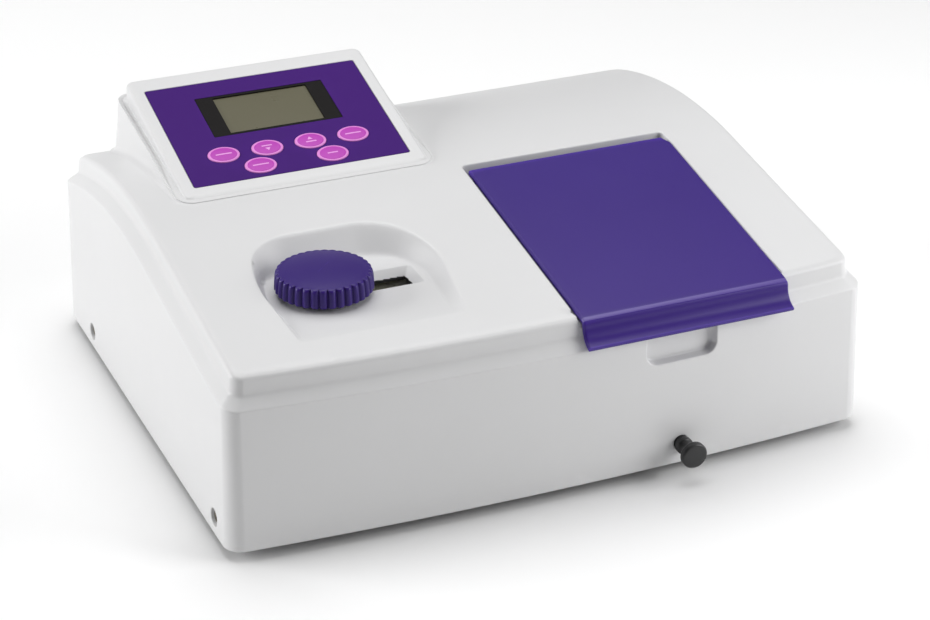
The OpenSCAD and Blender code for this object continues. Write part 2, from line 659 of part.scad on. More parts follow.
top_cover();
base_plate();
rubber_feet();
cover_screws();
display_bezel();
keypad_overlay();
display_window();
lcd_frame();
lcd_glass();
key_1();
key_2();
key_3();
key_4();
key_5();
key_6();
keypad_board();
key_switches();
ribbon_cable();
wavelength_knob();
knob_shaft();
knob_bushing();
dial_window();
dial_disc();
dial_gear();
dial_arbor();
drive_bridge();
monochromator_box();
monochromator_lid();
concave_mirrors();
fold_mirror();
slit_plates();
grating_sector();
grating_holder();
grating();
lamp_house();
lamp();
lamp_socket();
compartment_box();
guide_rails();
cell_carriage();
pull_rod();
rod_knob();
rod_bush();
sample_lid();
hinge_pins();
lid_seal();
detector_housing();
photodiode();
detector_board();
transformer_core();
transformer_coil();
power_board();
capacitors();
main_board();
board_standoffs();
rear_panel();
mains_inlet();
switch_body();
power_rocker();
fuse_holder();
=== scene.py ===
"""Looks of the spectrophotometer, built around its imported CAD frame.

Lengths below are millimetres in case coordinates, as in the part's own source: x from the left
side, y from the front corners, z from the cover's lower rim. at() turns them into the row frame.
"""
import json
import math

import bmesh
import bpy
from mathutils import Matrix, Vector
from mathutils.geometry import delaunay_2d_cdt


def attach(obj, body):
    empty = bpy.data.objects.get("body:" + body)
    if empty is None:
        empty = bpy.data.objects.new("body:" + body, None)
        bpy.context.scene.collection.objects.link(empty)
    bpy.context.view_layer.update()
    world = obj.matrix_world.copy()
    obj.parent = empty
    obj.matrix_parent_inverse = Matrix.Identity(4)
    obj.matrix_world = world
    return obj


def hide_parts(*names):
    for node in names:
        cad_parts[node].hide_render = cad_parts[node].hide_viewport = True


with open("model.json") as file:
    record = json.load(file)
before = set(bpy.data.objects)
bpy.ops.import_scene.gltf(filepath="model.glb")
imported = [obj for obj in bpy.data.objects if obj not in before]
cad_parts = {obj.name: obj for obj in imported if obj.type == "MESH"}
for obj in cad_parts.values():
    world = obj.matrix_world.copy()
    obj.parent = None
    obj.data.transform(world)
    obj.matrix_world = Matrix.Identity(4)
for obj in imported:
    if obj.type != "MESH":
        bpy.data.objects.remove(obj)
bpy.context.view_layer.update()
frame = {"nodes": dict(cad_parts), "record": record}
nodes = frame["nodes"]

# ---------------------------------------------------------------- sizes
CASE_W, CASE_D, BOW = 450.0, 367.0, 9.0
DRAFT = math.tan(math.radians(1.5))
SLOPE = math.radians(9.0)
CREST_R, CREST_Y, CREST_Z = 380.0, 230.0, 146.5
TANGENT_Y = CREST_Y - CREST_R * math.sin(SLOPE)
TANGENT_Z = CREST_Z - CREST_R + CREST_R * math.cos(SLOPE)
FOOT = 8.0
SKIN = 3.0                       # moulding thickness
WALL_DROP = 18.5                 # wall top, below the top surface
PANEL_ORIGIN = (132.0, 338.0, 182.3)
PANEL_TILT = math.radians(14.5)
KNOB = (100.0, 91.0)
KNOB_R, KNOB_Z, KNOB_H = 32.6, 122.0, 15.4
FLUTES = 34
PAN_Z = 120.0                    # floor of the knob recess
ROD = (309.5, 14.3)
SCREW_Y, SCREW_Z = (28.7, 303.9), 11.0
REAR_LIMIT = 351.9               # the flat top ends just behind this
HOOD_X0, HOOD_X1, HOOD_Y0, HOOD_Y1 = 39.5, 223.5, 200, 347      # the hood's top edge
SHELF = 4.5                      # lid pocket, below the top surface
POCKET_X0, POCKET_X1, POCKET_FLARE, POCKET_Y1 = 237.6, 386.8, 4.0, 190.8
TROUGH_Y, TROUGH_Z = 168.0, 126.0
OPENING = (250.0, 14.0, 378.0, 160.0)
LID_X0, LID_X1, LID_BACK, LID_T = 239.1, 386.4, 181.0, 3.0


def at(x, y, z):
    """Case coordinates in millimetres to the row frame in metres."""
    return Vector(((x - CASE_W / 2) / 1000, (y - 172) / 1000, (z + FOOT) / 1000))


def top_z(y):
    """The cover's top surface: a straight slope, then a crowned arc."""
    if y < TANGENT_Y:
        return TANGENT_Z - (TANGENT_Y - y) * math.tan(SLOPE)
    return CREST_Z - CREST_R + math.sqrt(CREST_R ** 2 - (y - CREST_Y) ** 2)


def hood_z(y):
    """The top plane of the console's hood."""
    return 169.8 - (347 - y) * 0.1601


def on_panel(x, y, z):
    """Panel coordinates (across, up the slope, out of it) to case coordinates."""
    c, s = math.cos(PANEL_TILT), math.sin(PANEL_TILT)
    return (PANEL_ORIGIN[0] + x, PANEL_ORIGIN[1] + y * c - z * s, PANEL_ORIGIN[2] + y * s + z * c)


def bow_y(x):
    return -BOW * (1 - ((x - CASE_W / 2) / (CASE_W / 2)) ** 2)


def lerp(a, b, t):
    return a + (b - a) * t


def turned(cx, cy, r, degrees):
    """A point on a circle."""
    a = math.radians(degrees)
    return (cx + r * math.cos(a), cy + r * math.sin(a))


def arc(cx, cy, r, a0, a1, n):
    """n + 1 points of an arc, angles in degrees."""
    return [turned(cx, cy, r, lerp(a0, a1, i / n)) for i in range(n + 1)]


def rounded(corners, step=6.0, n_corner=8, count=None):
    """A closed outline through corners (x, y, r) with rounded corners. count fixes how many
    points each side gets, so that two outlines match point for point."""
    n = len(corners)
    ends = []
    for i, (x, y, r) in enumerate(corners):
        here = Vector((x, y))
        before = (Vector(corners[i - 1][:2]) - here).normalized() * r
        after = (Vector(corners[(i + 1) % n][:2]) - here).normalized() * r
        ends.append((here + before, here, here + after))
    out = []
    for i, (a, corner, b) in enumerate(ends):
        c1, c2 = a.lerp(corner, 0.55), b.lerp(corner, 0.55)
        for j in range(n_corner + 1):
            t = j / n_corner
            p = a * (1 - t) ** 3 + c1 * 3 * t * (1 - t) ** 2 + c2 * 3 * t * t * (1 - t) + b * t ** 3
            out.append((p.x, p.y))
        following = ends[(i + 1) % n][0]
        pieces = count or max(1, round((following - b).length / step))
        out += [tuple(b.lerp(following, j / pieces)) for j in range(1, pieces)]
    return out


def box_loop(x0, y0, x1, y1, r, step=6.0, n_corner=8, count=None):
    """A rectangle with equal rounded corners."""
    corners = [(x0, y0, r), (x1, y0, r), (x1, y1, r), (x0, y1, r)]
    return rounded(corners, step, n_corner, count)


def offset(loop, d):
    """The loop moved outwards by d (it runs anticlockwise), point for point."""
    out = []
    for i, (x, y) in enumerate(loop):
        a, b = loop[i - 1], loop[(i + 1) % len(loop)]
        t = Vector((b[0] - a[0], b[1] - a[1])).normalized()
        out.append((x + t.y * d, y - t.x * d))
    return out


def inside(loop, x, y):
    hit = False
    j = len(loop) - 1
    for i in range(len(loop)):
        (xi, yi), (xj, yj) = loop[i], loop[j]
        if (yi > y) != (yj > y) and x < (xj - xi) * (y - yi) / (yj - yi) + xi:
            hit = not hit
        j = i
    return hit


# ---------------------------------------------------------------- mesh helpers
class Sheet:
    """A surface drawn in a flat (u, v) plane and placed in space point by point."""

    def __init__(self):
        self.flat, self.solid, self.edges = [], [], []
        self.keep_outs, self.holes = [], []

    def add(self, uv, xyz):
        self.flat.append(Vector(uv))
        self.solid.append(Vector(xyz))
        return len(self.flat) - 1

    def line(self, uvs, xyzs, closed=True):
        ids = [self.add(a, b) for a, b in zip(uvs, xyzs)]
        pairs = list(zip(ids, ids[1:] + ids[:1]))
        self.edges += pairs if closed else pairs[:-1]
        return ids

    @staticmethod
    def area(loop):
        us, vs = zip(*loop)
        return (min(us), max(us), min(vs), max(vs), loop)

    def keep_out(self, loop):
        self.keep_outs.append(self.area(loop))

    def hole(self, loop):
        self.holes.append(self.area(loop))

    @staticmethod
    def within(areas, u, v):
        return any(a <= u <= b and c <= v <= d and inside(loop, u, v)
                   for a, b, c, d, loop in areas)

    def fill(self, us, vs, place, border):
        for u in us:
            for v in vs:
                if inside(border, u, v) and not self.within(self.keep_outs, u, v):
                    self.add((u, v), place(u, v))

    def build(self, border):
        """Faces as lists of space points. The border is a loop of (u, v) points."""
        verts, _, faces, origin, _, _ = delaunay_2d_cdt(self.flat, self.edges, [], 0, 1e-4)
        place = []
        for v, o in zip(verts, origin):
            if not o:
                # where two lines cross, the new point takes its nearest neighbour's place
                o = [min(range(len(self.flat)), key=lambda i: (self.flat[i] - v).length)]
            place.append(self.solid[o[0]])
        out = []
        for f in faces:
            u = sum(verts[i].x for i in f) / 3
            v = sum(verts[i].y for i in f) / 3
            if inside(border, u, v) and not self.within(self.holes, u, v):
                out.append([place[i] for i in f])
        return out


def mesh_object(name, faces, body, replaces=(), material=None, merge=4e-6, sharp=None):
    """One piece from faces in the row frame: lists of points, or (points, material index)."""
    bm = bmesh.new()
    for f in faces:
        points, index = f if isinstance(f, tuple) else (f, 0)
        try:
            face = bm.faces.new([bm.verts.new(p) for p in points])
        except ValueError:
            continue
        face.material_index = index
        face.smooth = True
    bmesh.ops.remove_doubles(bm, verts=bm.verts, dist=merge)
    bmesh.ops.dissolve_degenerate(bm, edges=bm.edges, dist=1e-7)
    if sharp:
        for e in bm.edges:
            if len(e.link_faces) == 2 and e.calc_face_angle(0) > math.radians(sharp):
                e.smooth = False
    mesh = bpy.data.meshes.new(name)
    bm.to_mesh(mesh)
    bm.free()
    obj = bpy.data.objects.new(name, mesh)
    bpy.context.scene.collection.objects.link(obj)
    for m in (material if isinstance(material, (list, tuple)) else [material]):
        if m:
            mesh.materials.append(m)
    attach(obj, body)
    if replaces:
        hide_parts(*replaces)
    return obj


def weighted(obj):
    m = obj.modifiers.new("even_shading", "WEIGHTED_NORMAL")
    m.keep_sharp = True
    m.weight = 80
    return obj


def bridge(a, b, closed=True, index=None):
    """Quads between two matching rows of points."""
    n = len(a)
    out = []
    for i in range(n if closed else n - 1):
        j = (i + 1) % n
        q = [a[i], a[j], b[j], b[i]]
        out.append(q if index is None else (q, index))
    return out


def loft(rows, closed=True, index=None):
    out = []
    for a, b in zip(rows, rows[1:]):
        out += bridge(a, b, closed, index)
    return out


def lathe(profile, place, steps=64, radius=None):
    """Rings of a turned shape. profile: (r, h); place(x, y, h) gives the point."""
    rows = []
    for k, (r, h) in enumerate(profile):
        row = []
        for i in range(steps):
            a = 2 * math.pi * i / steps
            rr = radius(r, k, a) if radius else r
            row.append(place(rr * math.cos(a), rr * math.sin(a), h))
        rows.append(row)
    return rows


def cap(row, flip=False):
    c = sum(row, Vector()) / len(row)
    n = len(row)
    tris = [[row[i], row[(i + 1) % n], c] for i in range(n)]
    return [t[::-1] for t in tris] if flip else tris


# ---------------------------------------------------------------- materials
def material(name, color, rough, metallic=0.0, coat=0.0, alpha=1.0, ior=1.5):
    m = bpy.data.materials.new(name)
    m.use_nodes = True
    s = m.node_tree.nodes["Principled BSDF"]
    s.inputs["Base Color"].default_value = (*color, 1)
    s.inputs["Roughness"].default_value = rough
    s.inputs["Metallic"].default_value = metallic
    s.inputs["Coat Weight"].default_value = coat
    s.inputs["Alpha"].default_value = alpha
    s.inputs["IOR"].default_value = ior
    return m


class Tree:
    """Short names for building a material's nodes."""

    def __init__(self, m):
        self.t = m.node_tree
        self.shader = self.t.nodes["Principled BSDF"]
        self.coords = self.t.nodes.new("ShaderNodeTexCoord").outputs["Object"]

    def noise(self, scale, detail=4.0, rough=0.55, stretch=None):
        n = self.t.nodes.new("ShaderNodeTexNoise")
        n.inputs["Scale"].default_value = scale
        n.inputs["Detail"].default_value = detail
        n.inputs["Roughness"].default_value = rough
        source = self.coords
        if stretch:
            mp = self.t.nodes.new("ShaderNodeMapping")
            mp.inputs["Scale"].default_value = stretch
            self.t.links.new(source, mp.inputs["Vector"])
            source = mp.outputs["Vector"]
        self.t.links.new(source, n.inputs["Vector"])
        return n.outputs["Fac"]

    def ramp(self, fac, stops):
        r = self.t.nodes.new("ShaderNodeValToRGB")
        self.t.links.new(fac, r.inputs["Fac"])
        e = r.color_ramp.elements
        while len(e) < len(stops):
            e.new(0.5)
        for el, (pos, col) in zip(e, stops):
            el.position = pos
            el.color = col if len(col) == 4 else (*col, 1)
        return r.outputs["Color"]

    def spread(self, fac, low, high):
        r = self.t.nodes.new("ShaderNodeMapRange")
        r.inputs["From Min"].default_value = 0.3
        r.inputs["From Max"].default_value = 0.7
        r.inputs["To Min"].default_value = low
        r.inputs["To Max"].default_value = high
        self.t.links.new(fac, r.inputs["Value"])
        return r.outputs["Result"]

    def bump(self, height, strength, distance, after=None):
        b = self.t.nodes.new("ShaderNodeBump")
        b.inputs["Strength"].default_value = strength
        b.inputs["Distance"].default_value = distance
        self.t.links.new(height, b.inputs["Height"])
        if after:
            self.t.links.new(after, b.inputs["Normal"])
        return b.outputs["Normal"]

    def mix(self, fac, a, b):
        n = self.t.nodes.new("ShaderNodeMix")
        n.data_type = "RGBA"
        self.put(n.inputs["Factor"], fac)
        self.put(n.inputs["A"], a)
        self.put(n.inputs["B"], b)
        return n.outputs["Result"]

    def put(self, socket, value):
        if isinstance(value, bpy.types.NodeSocket):
            self.t.links.new(value, socket)
        elif isinstance(value, tuple):
            socket.default_value = (*value, 1)
        else:
            socket.default_value = value

    def edge_wear_and_highlight(self):
        """How far the surface turns nearby: the mask for lighter edges, partly edge wear and partly
        painted highlight.
        """
        g = self.t.nodes.new("ShaderNodeNewGeometry")
        return g.outputs["Pointiness"]

    def set(self, socket, value):
        self.t.links.new(value, self.shader.inputs[socket])


def shade(c, k):
    return tuple(min(1.0, max(0.0, v * k)) for v in c)


def moulded(name, color, rough=0.4, grain=2200, grain_depth=0.25, vary=0.04, coat=0.0,
            gloss=0.5, wavy=True, edge=1.12):
    """Moulded plastic: fine texture, faint cloudiness, handling marks and lighter edges: a little
    edge wear, raised by edge into a painted highlight on the lid and the knob.
    """
    m = material(name, color, rough, coat=coat)
    t = Tree(m)
    cloud = t.noise(9, 5)
    base = t.ramp(cloud, [(0.3, shade(color, 1 - vary)), (0.7, shade(color, 1 + vary))])
    smudge = t.noise(38, 6, 0.6, (1.0, 2.2, 1.0))
    t.set("Roughness", t.spread(smudge, rough - 0.015, rough + 0.02))
    # edges lightened towards shade(color, edge): a little edge wear, and a painted highlight where
    # edge is large
    wear_and_highlight_mask = t.ramp(t.edge_wear_and_highlight(), [(0.53, (0, 0, 0)), (0.62, (1, 1, 1))])
    t.set("Base Color", t.mix(wear_and_highlight_mask, base, shade(color, edge)))
    fine = t.bump(t.noise(grain, 3), grain_depth, 0.00012)
    t.set("Normal", t.bump(t.noise(14, 2), 0.06, 0.0012, fine) if wavy else fine)
    t.shader.inputs["Specular IOR Level"].default_value = gloss
    return m


def metal(name, color, rough=0.3, brushed=(1, 14, 1), depth=0.25):
    m = material(name, color, rough, metallic=1.0)
    t = Tree(m)
    lines = t.noise(240, 6, 0.6, brushed)
    t.set("Roughness", t.spread(lines, rough - 0.08, rough + 0.12))
    t.set("Base Color", t.ramp(t.noise(30, 4),
                               [(0.3, shade(color, 0.86)), (0.7, shade(color, 1.06))]))
    t.set("Normal", t.bump(lines, depth, 0.0001))
    return m


def glass(name, color, rough=0.06, alpha=0.35):
    m = material(name, color, rough, alpha=alpha, ior=1.45)
    t = Tree(m)
    t.set("Roughness", t.spread(t.noise(45, 5), rough, rough + 0.06))
    return m


def board():
    m = material("board_green", (0.02, 0.12, 0.04), 0.35)
    t = Tree(m)
    v = t.t.nodes.new("ShaderNodeTexVoronoi")
    v.distance = "MANHATTAN"
    v.inputs["Scale"].default_value = 190
    t.t.links.new(t.coords, v.inputs["Vector"])
    tracks = t.ramp(v.outputs["Distance"], [(0.42, (0.02, 0.11, 0.035)), (0.5, (0.05, 0.24, 0.08))])
    t.set("Base Color", tracks)
    t.set("Normal", t.bump(v.outputs["Distance"], 0.2, 0.0001))
    return m


WHITE = (0.70, 0.70, 0.705)
MATS = {
    "cover": moulded("cover_plastic", WHITE, 0.36, 1500, 0.16, 0.012),
    "overlay": moulded("overlay_film", (0.053, 0.009, 0.165), 0.48, 2600, 0.08, 0.03, 0.0, 0.08,
                       False),
    # the lid's last argument, 2.2, lightens its edges strongly: a painted highlight
    "lid": moulded("lid_plastic", (0.040, 0.015, 0.195), 0.33, 1300, 0.12, 0.03, 0.0, 0.30,
                   False, 2.2),
    # lid_fold is a lighter copy of the lid plastic for the front fold: a painted highlight
    "lid_fold": moulded("lid_fold_painted_highlight", (0.105, 0.070, 0.300), 0.30, 1300, 0.12, 0.03, 0.0, 0.4,
                        False),
    # the knob's last argument, 1.8, lightens its edges strongly: a painted highlight
    "knob": moulded("knob_plastic", (0.034, 0.013, 0.160), 0.34, 1500, 0.12, 0.03, 0.0, 0.32,
                    False, 1.8),
    "keys": moulded("key_magenta", (0.48, 0.042, 0.46), 0.36, 1800, 0.08, 0.03, 0.0, 0.3, False),
    # key_rim is a lighter copy of the key plastic for the keys' rims: a painted highlight
    "key_rim": moulded("key_rim_pink", (0.74, 0.25, 0.68), 0.36, 1800, 0.08, 0.03, 0.0, 0.3, False),
    "key_mark": moulded("key_mark_pale", (0.80, 0.36, 0.76), 0.40, 1800, 0.05, 0.02, 0.0, 0.3,
                        False),
    "black_plastic": moulded("black_plastic", (0.018, 0.018, 0.019), 0.36, 1700, 0.25, 0.12),
    "mask": moulded("window_mask", (0.007, 0.006, 0.006), 0.45, 1500, 0.04, 0.05, 0.0, 0.08, False),
    "rubber": moulded("rubber_black", (0.022, 0.022, 0.022), 0.68, 900, 0.45, 0.15),
    "cable": moulded("ribbon_grey", (0.42, 0.42, 0.43), 0.5, 900, 0.3, 0.08),
    "dial": moulded("dial_cream", (0.60, 0.58, 0.40), 0.45, 900, 0.1, 0.05),
    "casting": moulded("casting_black", (0.035, 0.035, 0.037), 0.5, 700, 0.5, 0.2),
    "ceramic": moulded("ceramic_white", (0.78, 0.76, 0.70), 0.3, 900, 0.1, 0.03),
    "winding": metal("copper_winding", (0.62, 0.28, 0.12), 0.35, (1, 1, 30), 0.6),
    "laminations": metal("core_laminations", (0.14, 0.14, 0.15), 0.5, (1, 30, 1), 0.6),
    "can": moulded("can_sleeve", (0.02, 0.03, 0.11), 0.3, 800, 0.1, 0.1),
    "rocker": moulded("rocker_red", (0.42, 0.016, 0.014), 0.3, 1500, 0.1, 0.05),
    "steel_plate": metal("zinc_sheet", (0.58, 0.59, 0.61), 0.42, (6, 1, 1), 0.2),
    "screw_steel": metal("screw_steel", (0.20, 0.165, 0.10), 0.26, (1, 3, 3), 0.3),
    "shaft": metal("ground_steel", (0.60, 0.60, 0.62), 0.22, (1, 8, 1), 0.2),
    "brass": metal("turned_brass", (0.72, 0.52, 0.22), 0.28, (1, 1, 6), 0.2),
    "plate_alu": metal("brushed_plate", (0.56, 0.57, 0.58), 0.36, (1, 1, 18), 0.2),
    "mirror": metal("silvered", (0.85, 0.87, 0.90), 0.09, (1, 1, 1), 0.02),
    "grating": metal("ruled_grating", (0.60, 0.50, 0.80), 0.16, (1, 60, 1), 0.3),
    "window": glass("clear_window", (0.05, 0.05, 0.05), 0.05, 0.14),
    "clear_glass": glass("clear_bulb", (0.90, 0.90, 0.86), 0.04, 0.35),
    "circuit_board": board(),
}


def lcd_material():
    """Olive liquid-crystal glass, with painted light: a little lighter towards its upper right."""
    m = material("lcd_olive", (0.13, 0.125, 0.08), 0.3)
    t = Tree(m)
    mp = t.t.nodes.new("ShaderNodeMapping")
    mp.inputs["Rotation"].default_value = (0, 0, math.radians(-25))
    mp.inputs["Scale"].default_value = (14, 14, 14)
    t.t.links.new(t.coords, mp.inputs["Vector"])
    # painted light: the glass grows lighter towards its upper right
    g = t.t.nodes.new("ShaderNodeTexGradient")
    t.t.links.new(mp.outputs["Vector"], g.inputs["Vector"])
    painted_light_gradient = t.ramp(g.outputs["Fac"], [(0.0, (0.118, 0.110, 0.064)), (1.0, (0.160, 0.151, 0.092))])
    cells = t.t.nodes.new("ShaderNodeTexBrick")
    cells.offset = 0.0
    cells.inputs["Scale"].default_value = 420
    cells.inputs["Mortar Size"].default_value = 0.04
    cells.inputs["Color1"].default_value = (1, 1, 1, 1)
    cells.inputs["Color2"].default_value = (0.97, 0.97, 0.97, 1)
    cells.inputs["Mortar"].default_value = (0.86, 0.86, 0.86, 1)
    t.t.links.new(t.coords, cells.inputs["Vector"])
    mul = t.t.nodes.new("ShaderNodeMix")
    mul.data_type = "RGBA"
    mul.blend_type = "MULTIPLY"
    mul.inputs["Factor"].default_value = 1.0
    t.t.links.new(painted_light_gradient, mul.inputs["A"])
    t.t.links.new(cells.outputs["Color"], mul.inputs["B"])
    t.set("Base Color", mul.outputs["Result"])
    t.set("Roughness", t.spread(t.noise(60, 4), 0.26, 0.36))
    t.shader.inputs["Specular IOR Level"].default_value = 0.25
    return m


MATS["lcd"] = lcd_material()
for entry in frame["record"]["subparts"]:
    o = nodes[entry["node"]]
    finish = MATS[entry["material_slot"]]
    if o.data.materials:
        for i in range(len(o.data.materials)):
            o.data.materials[i] = finish
    else:
        o.data.materials.append(finish)


# ---------------------------------------------------------------- the cover
# Columns round the plan. An edge column keeps its x or y; a corner column keeps its angle.
POCKET_STEPS = [(-1.0, 0.0), (-0.5, 0.12), (-0.15, 0.5), (0.0, 1.0), (0.1, SHELF - 0.6),
                (0.6, SHELF)]
NOTCH_STEPS = [(-1.2, 0.0), (-0.5, 0.15), (0.0, 0.7), (0.45, 4.6), (0.9, 5.6), (1.9, 6.0)]
NOTCH = (283.0, 334.0, 75.0, 8.0)      # x from, x to, lower edge, corner radius


def stepped(steps, s):
    """A height that follows the (distance, height) steps."""
    if s <= steps[0][0]:
        return steps[0][1]
    for (a, ha), (b, hb) in zip(steps, steps[1:]):
        if s <= b:
            return lerp(ha, hb, (s - a) / (b - a))
    return steps[-1][1]


def pocket_right(y):
    return POCKET_X1 + POCKET_FLARE * min(1.0, max(0.0, y / LID_BACK))


def front_columns():
    xs = {round(22 + 406 * i / 100, 3) for i in range(101)}
    marks = {round(POCKET_X0 + s, 3) for s, _ in POCKET_STEPS}
    marks |= {round(POCKET_X1 - s, 3) for s, _ in POCKET_STEPS}
    marks |= {round(NOTCH[0] + s, 3) for s, _ in NOTCH_STEPS}
    marks |= {round(NOTCH[1] - s, 3) for s, _ in NOTCH_STEPS}
    xs = {x for x in xs if all(abs(x - m) > 1.2 for m in marks)}
    return sorted(xs | marks)


def columns():
    side = [22 + (345 - 22) * i / 70 for i in range(71)]
    back = [428 - 406 * i / 100 for i in range(101)]
    turn = [i / 12 for i in range(1, 12)]
    out = [("front", x) for x in front_columns()]
    out += [("corner", (1, 0, -90 + 90 * t)) for t in turn]
    out += [("right", y) for y in side]
    out += [("corner", (1, 1, 90 * t)) for t in turn]
    out += [("back", x) for x in back]
    out += [("corner", (0, 1, 90 + 90 * t)) for t in turn]
    out += [("left", y) for y in reversed(side)]
    out += [("corner", (0, 0, 180 + 90 * t)) for t in turn]
    return out


def plan_point(column, inset):
    kind, v = column
    if kind == "front":
        return (v, bow_y(v) + inset)
    if kind == "right":
        return (CASE_W - inset, v)
    if kind == "back":
        return (v, CASE_D - inset)
    if kind == "left":
        return (inset, v)
    right, rear, angle = v
    r = max(13.0 - 0.45 * inset, 6.0)
    a = math.radians(angle)
    cx = CASE_W - inset - r if right else inset + r
    cy = CASE_D - inset - r if rear else bow_y(inset + r) + inset + r
    return (cx + r * math.cos(a), cy + r * math.sin(a))


COLUMNS = columns()
TOP_INSET = 11.6                        # the flat top begins this far in, before draft
LEDGE_DROP = 10.6                       # the step wall's foot, below the top surface
WALL_TOP = 20                           # a drop that is well below the ledge


def rim_profile():
    """(inset, drop) from the wall's top up to the flat top: edge, chamfer, fillet, step, fillet."""
    edge_drop, hollow_r, edge_r = WALL_DROP + 1.6, 4.2, 3.7
    foot_x, edge_x = 7.1, 7.6           # the step wall, at its foot and at its head
    wall_edge = [(x, 2 * edge_drop - y) for x, y in arc(1.9, edge_drop, 1.9, 180, 135, 4)]
    hollow = [turned(foot_x - hollow_r, LEDGE_DROP, hollow_r, a) for a in (45, 35, 25, 15, 7, 0)]
    edge = [turned(edge_x + edge_r, edge_r, -edge_r, a) for a in (0, 12, 25, 40, 55, 72, 90)]
    return wall_edge + hollow + edge


RIM = rim_profile()


def column_point(column, inset, drop, z=None, push=0.0):
    """A point of the cover's side. z is given below the wall's top, drop above it."""
    pocket = 0.0
    if column[0] == "front":
        x = column[1]
        pocket = stepped(POCKET_STEPS, min(x - POCKET_X0, POCKET_X1 - x))
        if z is None:
            inset = max(inset, stepped(NOTCH_STEPS, min(x - NOTCH[0], NOTCH[1] - x)))
    if drop < LEDGE_DROP:
        drop = pocket + drop * (LEDGE_DROP - pocket) / LEDGE_DROP
    if z is None:
        at_top = inset > TOP_INSET - 0.8
        z = top_z(plan_point(column, inset + 100 * DRAFT if at_top else 10.0)[1]) - drop
    return (*plan_point(column, inset + push + z * DRAFT), z)


def top_ring():
    out = []
    for c in COLUMNS:
        x, y, _ = column_point(c, RIM[-1][0], 0.0)
        s = pocket_depth(x, y)
        out.append((x, y, top_z(y) - stepped(POCKET_STEPS, s)))
    return out


def pocket_depth(x, y):
    """How far inside the lid's pocket a point lies."""
    return min(x - POCKET_X0, pocket_right(y) - x, POCKET_Y1 - y)


def pocket_z(x, y):
    s = pocket_depth(x, y)
    if s < 0.6 or y < TROUGH_Y - 0.8:
        return top_z(y) - stepped(POCKET_STEPS, s)
    return lerp(top_z(y) - SHELF, TROUGH_Z, min(1.0, max(0.0, (y - TROUGH_Y + 0.1) / 0.2)))


